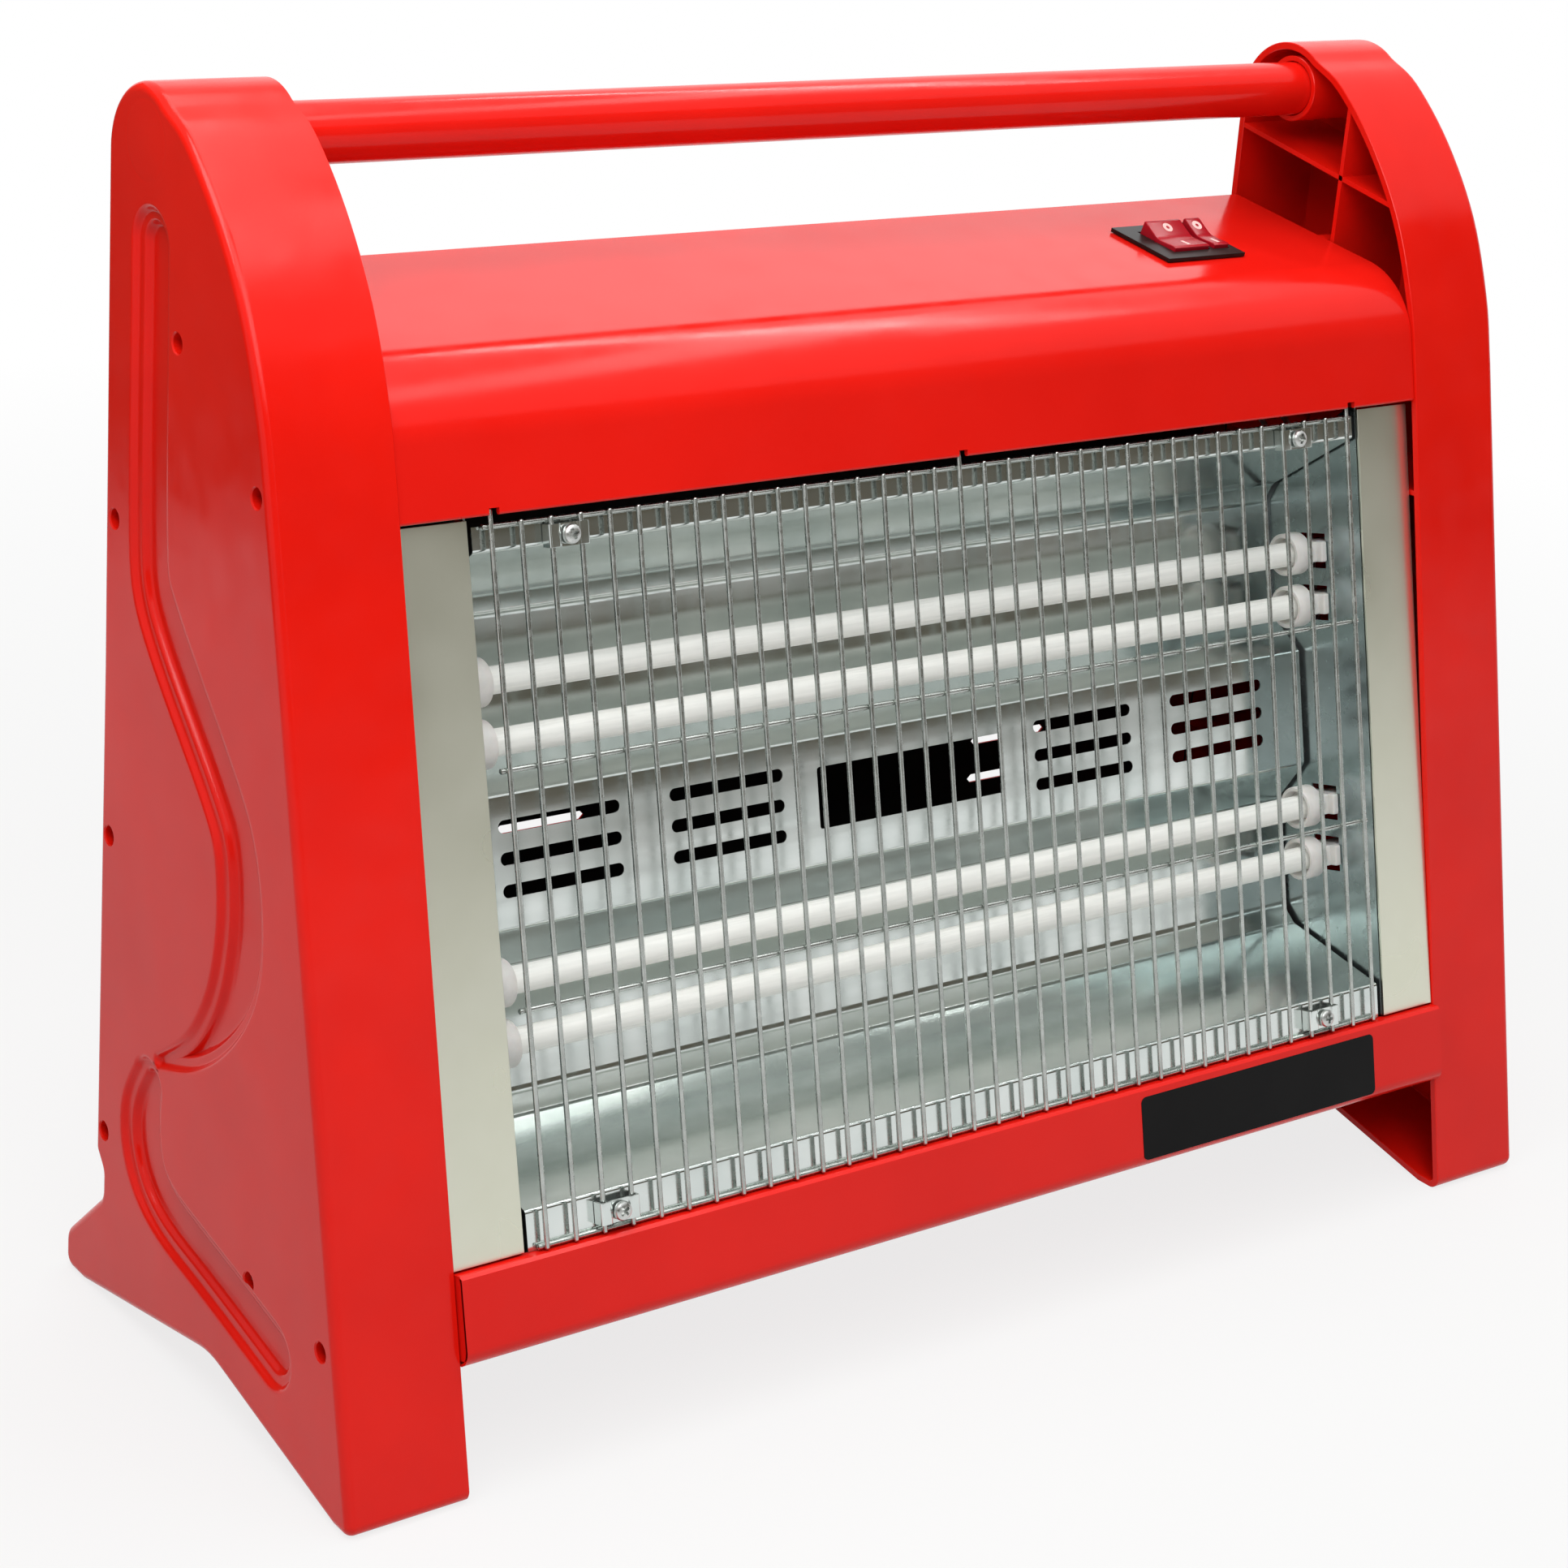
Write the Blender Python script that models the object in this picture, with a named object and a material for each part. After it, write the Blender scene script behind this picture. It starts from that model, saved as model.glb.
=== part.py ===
# Portable electric heater with four quartz tubes, for Blender 4.5. Metres, Z up.
# X runs along the heater, Y from front to back. The heater stands on z = 0.
# Two moulded side panels carry the handle tube and a box of folded sheet.
# The reflector, tubes and grille sit in a frame that leans back with the front.

import math

import bmesh
import bpy
from mathutils import Matrix, Vector

MM = 0.001
FIT = 0.3 * MM

# Grille
WIRE_PITCH = 12.0 * MM
WIRE_RADIUS = 0.95 * MM
BAR_RADIUS = 1.05 * MM
BAR_COUNT = 4
BAR_FIRST = 0.9 * MM
BAR_OVERHANG = 3.0 * MM
WIRE_OVERHANG = 1.4 * MM
HOOK_LENGTH = 5.0 * MM
WELD_DEPTH = 0.3 * MM

# Front frame, leaning back about its lower edge
FRONT_LEAN = math.radians(14.0)
FRONT_FOOT_Z = 80.6 * MM

# Side panels
END_BAY = 29.3 * MM
PANEL_DEPTH = 47.5 * MM
PANEL_HEIGHT = 459.0 * MM
PANEL_BACK_Y = 176.0 * MM
PANEL_WALL = 3.0 * MM
PANEL_CREASE = 3.0 * MM
BACK_BEND_Z = 250.0 * MM
CROWN_Y = 153.0 * MM
CROWN_RADIUS = 25.5 * MM
CROWN_SWEEP = math.radians(125.0)
SHOULDER = [(-31, 12.5), (-53, -8.5), (-72.5, -36), (-86, -67.5), (-93, -93.5)]
FOOT_FRONT_Y = -17.5 * MM
FOOT_BACK_Y = 199.5 * MM
SOLE_LENGTH = 12.0 * MM
ARCH_Y = 85.0 * MM
ARCH_HEIGHT = 19.3 * MM
ARCH_RADIUS = 40.0 * MM
WAIST_Z = 47.5 * MM
WAIST_STEP = 5.8 * MM
HEEL_Z = 14.7 * MM
RIB_THICKNESS = 2.0 * MM
RIB_SET_BACK = 0.4 * MM
UPRIGHT_RIB_Y = 116.0 * MM
CROSS_RIB_BELOW_TOP = 38.5 * MM
CROSS_RIB_DROP = 17.5 * MM
LOWER_RIB_HEIGHTS = (290.0 * MM, 150.0 * MM)

# S-shaped groove in the outer face: a centre line of (y, z, width) in mm for each half,
# the upper one from a round end below the crown
GROOVE_DEPTH = 5.0 * MM
GROOVE_STEP_WIDTH = 4.5 * MM
GROOVE_STEP_DEPTH = 2.2 * MM
GROOVE_BACKING = 2.5 * MM
GROOVE_TIP_WIDTH = 1.0 * MM
GROOVE_BELOW_TOP = 53.0 * MM
GROOVE_TOP_Y = 145.5 * MM
GROOVE_TOP_WIDTH = 25.0 * MM
UPPER_GROOVE = [(142.5, 303, 26), (134, 280, 28), (90, 235, 27), (76, 217, 28),
                (70.7, 191, 30), (73, 171, 29), (84, 149, 21), (103, 129, 12), (127, 116, 4)]
LOWER_GROOVE = [(135, 103, 20), (139.5, 88, 29), (138.5, 75, 31), (131, 65, 29), (117, 58.5, 26),
                (98, 54.8, 25), (70, 49.5, 25), (39.5, 43.3, 25)]

# Panel screws in bosses that reach the sheet box, at (y, depth below the panel's top) and
# at (y, height above the floor) in mm
UPPER_SCREWS = [(125.2, 81.5), (68.5, 119), (168.5, 154)]
LOWER_SCREWS = [(168.5, 187), (168.5, 70), (57, 62.2), (6.8, 60.5)]
SCREW_RADIUS = 1.7 * MM
SCREW_LENGTH = 15.0 * MM
SCREW_HEAD_RADIUS = 3.1 * MM
SCREW_HEAD_HEIGHT = 2.0 * MM
SCREW_CLEARANCE = 0.35 * MM
RECESS_RADIUS = 3.5 * MM
BOSS_RADIUS = 5.3 * MM
BOSS_FLOOR = 9.0 * MM

# Handle
HANDLE_RADIUS = 11.0 * MM
HANDLE_WALL = 1.4 * MM
HANDLE_BEFORE_CROWN = 2.5 * MM
HANDLE_BELOW_TOP = 18.8 * MM
HANDLE_BOSS_RADIUS = 13.6 * MM
HANDLE_SEAT_DEPTH = 19.0 * MM
HANDLE_BOSS_BORE = 8.5 * MM

# Sheet box: cover, back and base
SHEET = 1.0 * MM
BOX_PROUD = 3.2 * MM
COVER_BELOW_TOP = 68.2 * MM
COVER_LIP_DROP = 62.78 * MM
COVER_SLOPE = 0.145
COVER_RADIUS = 34.0 * MM
LIP_PAST_WIRES = 2.6 * MM
HEM_LENGTH = 6.0 * MM
HEM_THICKNESS = 2.0 * MM
NOTCH_WIDTH = 4.0 * MM
NOTCH_HEIGHT = 2.4 * MM
BACK_FLANGE = 10.0 * MM
END_FLANGE = 14.0 * MM
END_FLANGE_INSET = 0.3 * MM
BASE_Z = 47.5 * MM
BASE_RADIUS = 6.0 * MM
BASE_FLANGE = 30.0 * MM
FASCIA_TOP = -0.6 * MM
FASCIA_RETURN = 7.2 * MM

# Slots in the back
VENT_LENGTH = 41.0 * MM
VENT_HEIGHT = 3.6 * MM
VENT_PITCH = 17.5 * MM
VENT_FIRST_Z = 105.5 * MM
VENT_ROWS = 9
VENT_COLUMNS = (-100.5 * MM, 141.0 * MM)

# Cord bushing in the back, without its cord
BUSHING_X = 15.0 * MM
BUSHING_Z = 75.0 * MM
BUSHING_RADIUS = 7.0 * MM
BUSHING_BORE = 4.2 * MM
BUSHING_FLANGE = 10.0 * MM
BUSHING_LENGTH = 12.0 * MM

# Reflector, in the leaning frame: n is the depth behind the wires, s the height up the slope
REFLECTOR_SHEET = 0.6 * MM
REFLECTOR_RAISE = 2.0 * MM
UPPER_FLANGE_PAST = 0.2 * MM
LOWER_FLANGE_PAST = 2.3 * MM
FLANGE_WIDTH = 12.0 * MM
TROUGH_DEPTH = 55.4 * MM
TROUGH_CORNER_DEPTH = 49.5 * MM
TROUGH_SIDE_RISE = 19.8 * MM
TROUGH_CORNER_RISE = 7.5 * MM
RIDGE_FOOT = 40.3 * MM
RIDGE_TOP = 24.0 * MM
RIDGE_DEPTH = 39.0 * MM
SLOT_RAISE = 1.2 * MM
SLOT_PITCH = 11.6 * MM
SLOT_HEIGHT = 4.8 * MM
SLOT_LENGTH = 51.5 * MM
SLOT_COLUMNS = (-161.0 * MM, -87.5 * MM, 87.5 * MM, 161.0 * MM)
WINDOW_LENGTH = 91.5 * MM
WINDOW_HEIGHT = 23.6 * MM

# End cheeks and the cream strips in front of them
CHEEK_SHEET = 0.8 * MM
CHEEK_MARGIN = 3.5 * MM
CHEEK_FLANGE = 23.0 * MM
STRIP_FRONT = 1.6 * MM
STRIP_BOTTOM = 0.2 * MM
STRIP_PAST_WIRES = 1.4 * MM
STRIP_RETURN = 10.0 * MM

# Tubes, coils and ceramic holders
TUBE_DEPTH = 30.0 * MM
TUBE_RAISE = 2.4 * MM
TUBE_INSETS = (30.0 * MM, 51.8 * MM)
TUBE_RADIUS = 5.0 * MM
TUBE_WALL = 1.2 * MM
TUBE_HALF_LENGTH = 201.5 * MM
TUBE_END_ROOM = 10.2 * MM
COIL_RADIUS = 2.8 * MM
TAIL_RADIUS = 1.4 * MM
RING_RADIUS = 8.8 * MM
RING_GRIP = 7.0 * MM
RING_SHOULDER = 1.5 * MM
NECK_HEIGHT = 8.5 * MM
NECK_WIDTH = 11.0 * MM
LUG_WIDTH = 17.0 * MM
LUG_LENGTH = 3.2 * MM
NECK_REACH = 14.3 * MM
HOLE_HEIGHT = 14.5 * MM
HOLE_WIDTH = 14.0 * MM
BUS_BAR_WIDTH = 8.0 * MM
BUS_BAR_THICKNESS = 1.0 * MM
BUS_BAR_MARGIN = 6.0 * MM

# Clips that hold the grille to the flanges
CLIP_WIRES_IN = 2.5
CLIP_PLAY = 0.35 * MM
CLIP_HEIGHT = 8.0 * MM
CLIP_THICKNESS = 0.9 * MM
CLIP_ABOVE_BAR = 6.3 * MM
CLIP_BELOW_BAR = 5.6 * MM
CLIP_SCREW_HEAD = 3.5 * MM
CLIP_SCREW_HEAD_HEIGHT = 2.2 * MM
CLIP_SCREW_RADIUS = 1.5 * MM
CLIP_SCREW_REACH = 9.0 * MM

# Switch: a housing with two rockers
SWITCH_FROM_PANEL = 79.5 * MM
SWITCH_Y = 125.5 * MM
BEZEL_LENGTH = 42.0 * MM
BEZEL_WIDTH = 36.0 * MM
BEZEL_HEIGHT = 2.0 * MM
BODY_LENGTH = 40.0 * MM
BODY_WIDTH = 29.4 * MM
BODY_DEPTH = 19.0 * MM
BODY_FLOOR = 3.0 * MM
ROCKER_NAMES = ("wide_rocker", "narrow_rocker")
ROCKER_WIDTHS = (19.0 * MM, 8.0 * MM)
ROCKER_MIDDLES = (-2.5 * MM, 13.8 * MM)
ROCKER_HALF_LENGTH = 10.5 * MM
ROCKER_LIP = 1.5 * MM
ROCKER_END_HEIGHT = 3.6 * MM
ROCKER_MIDDLE_HEIGHT = 1.2 * MM
ROCKER_SKIRT = 2.0 * MM
ROCKER_BELLY = 7.0 * MM
ROCKER_PIVOT = -1.5 * MM
ROCKER_TILT = math.radians(11.0)
ROCKER_END_GAP = 1.0 * MM
PIN_RADIUS = 1.3 * MM
PIN_LENGTH = 1.1 * MM

# Wires from the switch to the right-hand bus bars
LEAD_RADIUS = 1.4 * MM
UPPER_LEAD_OUT = 10.3 * MM
LOWER_LEAD_OUT = 21.3 * MM

# Along X: the tubes set the reflector, and the reflector the gap between the panels
REFLECTOR_HALF_LENGTH = TUBE_HALF_LENGTH + TUBE_END_ROOM
PANEL_IN = REFLECTOR_HALF_LENGTH + END_BAY
PANEL_OUT = PANEL_IN + PANEL_DEPTH
BOX_END = PANEL_IN - FIT
LEAN_SIN = math.sin(FRONT_LEAN)
LEAN_COS = math.cos(FRONT_LEAN)
LEAN_TAN = math.tan(FRONT_LEAN)
RING_START = TUBE_HALF_LENGTH - RING_GRIP
RING_END = TUBE_HALF_LENGTH + RING_SHOULDER
NECK_END = REFLECTOR_HALF_LENGTH + NECK_REACH
SWITCH_X = PANEL_IN - SWITCH_FROM_PANEL

# Upwards: the panel's height carries the crown, the handle and the cover, and the cover's
# lip the height of the grille
CROWN_Z = PANEL_HEIGHT - CROWN_RADIUS
HANDLE_Y = CROWN_Y - HANDLE_BEFORE_CROWN
HANDLE_Z = PANEL_HEIGHT - HANDLE_BELOW_TOP
COVER_BACK_Z = PANEL_HEIGHT - COVER_BELOW_TOP
COVER_LIP_Z = COVER_BACK_Z - COVER_LIP_DROP
PANEL_SCREWS = [(y, PANEL_HEIGHT / MM - down) for y, down in UPPER_SCREWS] + LOWER_SCREWS
LIP_S = (COVER_LIP_Z - FRONT_FOOT_Z - BOX_PROUD * LEAN_SIN) / LEAN_COS
WIRE_TOP = LIP_S - LIP_PAST_WIRES
BAR_SPACING = (WIRE_TOP - WIRE_OVERHANG - BAR_FIRST) / (BAR_COUNT - 1)

# The reflector and its tubes are spread about the middle of the grille
REFLECTOR_MIDDLE = WIRE_TOP / 2 + REFLECTOR_RAISE
FLANGE_END = WIRE_TOP / 2 + UPPER_FLANGE_PAST
FLANGE_FOOT = WIRE_TOP / 2 + LOWER_FLANGE_PAST
FLANGE_BEND = WIRE_TOP / 2 - FLANGE_WIDTH
TROUGH_CORNER = FLANGE_BEND - TROUGH_SIDE_RISE
TROUGH_TOP = TROUGH_CORNER - TROUGH_CORNER_RISE
SLOT_MIDDLE = REFLECTOR_MIDDLE + SLOT_RAISE
TUBE_MIDDLE = REFLECTOR_MIDDLE + TUBE_RAISE
UPPER_OFFSETS = [TROUGH_CORNER - inset for inset in TUBE_INSETS]
TUBE_OFFSETS = UPPER_OFFSETS + [-lift for lift in UPPER_OFFSETS[::-1]]

# The wires fill the reflector's length, and a clip spans two of them
HALF_WIRES = int((REFLECTOR_HALF_LENGTH - BAR_OVERHANG - WIRE_RADIUS) / WIRE_PITCH)
CLIP_X = (HALF_WIRES - CLIP_WIRES_IN) * WIRE_PITCH
CLIP_WIDTH = WIRE_PITCH + 2 * (WIRE_RADIUS + CLIP_PLAY + CLIP_THICKNESS)
CLIP_LOW_S = BAR_FIRST + CLIP_ABOVE_BAR
CLIP_HIGH_S = BAR_FIRST + (BAR_COUNT - 1) * BAR_SPACING - CLIP_BELOW_BAR

# The reflector's flanges lie just behind the cross bars
BAR_N = WIRE_RADIUS * math.cos(math.pi / 6) + BAR_RADIUS - WELD_DEPTH
FRAME_FLANGE_N = BAR_N + BAR_RADIUS + FIT


def clear_scene():
    for old in list(bpy.data.objects):
        bpy.data.objects.remove(old, do_unlink=True)


def finish(name, colour, roughness, metallic=0.0, alpha=1.0):
    """A Principled material of one colour."""
    material = bpy.data.materials.new(name)
    material.use_nodes = True
    shader = material.node_tree.nodes["Principled BSDF"]
    shader.inputs["Base Color"].default_value = (*colour, 1.0)
    shader.inputs["Roughness"].default_value = roughness
    shader.inputs["Metallic"].default_value = metallic
    shader.inputs["Alpha"].default_value = alpha
    material.diffuse_color = (*colour, 1.0)
    return material


def empty(name, location=(0, 0, 0), rotation_x=0.0, parent=None):
    holder = bpy.data.objects.new(name, None)
    holder.empty_display_size = 0.02
    holder.location = location
    holder.rotation_euler = (rotation_x, 0, 0)
    holder.parent = parent
    bpy.context.scene.collection.objects.link(holder)
    return holder


def solid(name, shape, material, parent, location=(0, 0, 0)):
    """Turns a bmesh into a named object with its faces pointing out."""
    bmesh.ops.recalc_face_normals(shape, faces=shape.faces)
    mesh = bpy.data.meshes.new(name)
    shape.to_mesh(mesh)
    shape.free()
    if material:
        mesh.materials.append(material)
    thing = bpy.data.objects.new(name, mesh)
    thing.location = location
    thing.parent = parent
    bpy.context.scene.collection.objects.link(thing)
    return thing


def cutter(name, shape, parent):
    helper = solid(name, shape, None, parent)
    helper.hide_render = True
    helper.display_type = "WIRE"
    return helper


def boolean(target, helper, operation="DIFFERENCE"):
    modifier = target.modifiers.new(helper.name, "BOOLEAN")
    modifier.object = helper
    modifier.operation = operation
    modifier.solver = "EXACT"


def smooth(thing, angle=40.0):
    thing.data.shade_smooth()
    thing.data.set_sharp_from_angle(angle=math.radians(angle))


def loft(loops):
    """Joins loops of equal length into a closed body, with a flat cap at each end."""
    shape = bmesh.new()
    rings = [[shape.verts.new(point) for point in loop] for loop in loops]
    count = len(rings[0])
    for lower, upper in zip(rings, rings[1:]):
        for i in range(count):
            j = (i + 1) % count
            shape.faces.new((lower[i], lower[j], upper[j], upper[i]))
    shape.faces.new(rings[0][::-1])
    shape.faces.new(rings[-1])
    return shape


def slab(outline, x0, x1):
    """An outline of (y, z) points, filled and extruded from x0 to x1."""
    return loft([[(x, y, z) for y, z in outline] for x in (x0, x1)])


def box(x0, x1, y0, y1, z0, z1):
    return slab([(y0, z0), (y1, z0), (y1, z1), (y0, z1)], x0, x1)


def circle(radius, sides, y=0.0, z=0.0, turn=0.0):
    angles = [turn + 2 * math.pi * i / sides for i in range(sides)]
    return [(y + radius * math.cos(a), z + radius * math.sin(a)) for a in angles]


def turned(profile, sides, y=0.0, z=0.0, turn=0.0):
    """A body turned about a line along X, from (x, radius) steps."""
    return loft([[(x, py, pz) for py, pz in circle(r, sides, y, z, turn)] for x, r in profile])


def turned_tube(profile, sides, y=0.0, z=0.0):
    """A closed ring about a line along X, from a closed loop of (x, radius) points."""
    shape = bmesh.new()
    rings = [[shape.verts.new((x, py, pz)) for py, pz in circle(r, sides, y, z)] for x, r in profile]
    for lower, upper in zip(rings, rings[1:] + rings[:1]):
        for i in range(sides):
            j = (i + 1) % sides
            shape.faces.new((lower[i], lower[j], upper[j], upper[i]))
    return shape


def merge(*shapes):
    """Several bmeshes in one, each still its own body."""
    joined = bmesh.new()
    for shape in shapes:
        mesh = bpy.data.meshes.new("part")
        shape.to_mesh(mesh)
        shape.free()
        joined.from_mesh(mesh)
        bpy.data.meshes.remove(mesh)
    return joined


def rounded(corners):
    """An outline from (y, z, radius, steps) corners, each replaced by an arc."""
    points = []
    for i, (y, z, radius, steps) in enumerate(corners):
        here = Vector((y, z))
        if radius == 0:
            points.append((y, z))
            continue
        back = (Vector(corners[i - 1][:2]) - here).normalized()
        ahead = (Vector(corners[(i + 1) % len(corners)][:2]) - here).normalized()
        half = back.angle(ahead) / 2
        centre = here + (back + ahead).normalized() * (radius / math.sin(half))
        start = here + back * (radius / math.tan(half)) - centre
        end = here + ahead * (radius / math.tan(half)) - centre
        sweep = start.angle_signed(end)
        for k in range(steps + 1):
            arm = start.copy()
            arm.rotate(Matrix.Rotation(-sweep * k / steps, 2))
            points.append(tuple(centre + arm))
    return points


def offset(outline, distance, closed=True):
    """Moves an outline to its left by a distance, with mitred corners."""
    moved = []
    count = len(outline)
    for i, point in enumerate(outline):
        here = Vector(point)
        before = Vector(outline[i - 1]) if closed or i else None
        after = Vector(outline[(i + 1) % count]) if closed or i < count - 1 else None
        sides = []
        if before is not None:
            sides.append((here - before).normalized())
        if after is not None:
            sides.append((after - here).normalized())
        normals = [Vector((-side.y, side.x)) for side in sides]
        middle = sum(normals, Vector((0, 0))).normalized()
        moved.append(tuple(here + middle * (distance / middle.dot(normals[0]))))
    return moved


def smooth_path(points, steps):
    """A Catmull-Rom curve through the points, in mm or metres, of any dimension."""
    knots = [Vector(point) for point in points]
    knots = [2 * knots[0] - knots[1], *knots, 2 * knots[-1] - knots[-2]]
    path = []
    for i in range(1, len(knots) - 2):
        p0, p1, p2, p3 = knots[i - 1:i + 3]
        for k in range(steps):
            t = k / steps
            path.append(0.5 * (2 * p1 + (p2 - p0) * t + (2 * p0 - 5 * p1 + 4 * p2 - p3) * t * t
                               + (3 * p1 - p0 - 3 * p2 + p3) * t ** 3))
    path.append(knots[-2])
    return path


def folded(fold, thickness, half_length):
    """A sheet bent along an open (y, z) line, with its thickness on the left."""
    outline = list(fold) + offset(fold, thickness, closed=False)[::-1]
    return slab(outline, -half_length, half_length)


def front_line(n, s):
    """The (y, z) place of a point of the leaning frame, n behind it and s up it."""
    return (s * LEAN_SIN + n * LEAN_COS, FRONT_FOOT_Z + s * LEAN_COS - n * LEAN_SIN)


def proud_y(z):
    """How far back the box's front face lies at a height."""
    return (z - FRONT_FOOT_Z) * LEAN_TAN - BOX_PROUD / LEAN_COS


def panel_outline():
    sole_front = FOOT_FRONT_Y + SOLE_LENGTH
    sole_back = FOOT_BACK_Y - SOLE_LENGTH - 3.5 * MM
    waist_y = PANEL_BACK_Y - WAIST_STEP
    crown = [(CROWN_Y + CROWN_RADIUS * math.cos(CROWN_SWEEP * k / 8),
              CROWN_Z + CROWN_RADIUS * math.sin(CROWN_SWEEP * k / 8)) for k in range(9)]
    knots = [(CROWN_Y + y * MM, CROWN_Z + z * MM) for y, z in SHOULDER]
    shoulder = smooth_path([crown[-1], *knots], 2)[1:]
    return rounded([
        (FOOT_FRONT_Y, 0, 3 * MM, 3),
        (sole_front, 0, 0, 0),
        (ARCH_Y, ARCH_HEIGHT, ARCH_RADIUS, 4),
        (sole_back, 0, 0, 0),
        (FOOT_BACK_Y, 0, 6 * MM, 4),
        (FOOT_BACK_Y, HEEL_Z, 8 * MM, 3),
        (waist_y, HEEL_Z + (FOOT_BACK_Y - waist_y) * 0.94, 8 * MM, 2),
        (waist_y, WAIST_Z + 5.5 * MM, 5 * MM, 2),
        (PANEL_BACK_Y, WAIST_Z + 12.5 * MM, 5 * MM, 2),
        (PANEL_BACK_Y, BACK_BEND_Z, 0, 0),
        *[(y, z, 0, 0) for y, z in crown + shoulder],
    ])


def outline_reach(outline, height):
    """The front and back y of an outline at a height."""
    crossings = []
    for (y0, z0), (y1, z1) in zip(outline, outline[1:] + outline[:1]):
        if min(z0, z1) <= height < max(z0, z1):
            crossings.append(y0 + (y1 - y0) * (height - z0) / (z1 - z0))
    return min(crossings), max(crossings)


def outline_top(outline, depth):
    """The highest z of an outline at a y."""
    crossings = []
    for (y0, z0), (y1, z1) in zip(outline, outline[1:] + outline[:1]):
        if min(y0, y1) <= depth < max(y0, y1):
            crossings.append(z0 + (z1 - z0) * (depth - y0) / (y1 - y0))
    return max(crossings)


def groove_lines():
    upper = [(y * MM, z * MM, width * MM) for y, z, width in UPPER_GROOVE]
    lower = [(y * MM, z * MM, width * MM) for y, z, width in LOWER_GROOVE]
    return (("upper", [(GROOVE_TOP_Y, PANEL_HEIGHT - GROOVE_BELOW_TOP, GROOVE_TOP_WIDTH), *upper]),
            ("lower", lower))


def groove_band(line, widen, x0, x1):
    """A band along a curve of (y, z, width) whose width varies, round at both ends."""
    path = smooth_path(line, 2)
    last = len(path) - 1
    left, right = [], []
    for i, knot in enumerate(path):
        ahead = (path[min(i + 1, last)].xy - path[max(i - 1, 0)].xy).normalized()
        side = Vector((-ahead.y, ahead.x)) * max(knot.z + widen, GROOVE_TIP_WIDTH) / 2
        left.append(knot.xy + side)
        right.append(knot.xy - side)
    steps = 4

    def round_end(centre, start, turn):
        arm = start - centre
        points = []
        for k in range(1, steps):
            arc = arm.copy()
            arc.rotate(Matrix.Rotation(turn * math.pi * k / steps, 2))
            points.append(centre + arc)
        return points

    outline = (right + round_end(path[-1].xy, right[-1], 1) + left[::-1]
               + round_end(path[0].xy, left[0], 1))
    return slab([tuple(point) for point in outline], x0, x1)


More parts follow.
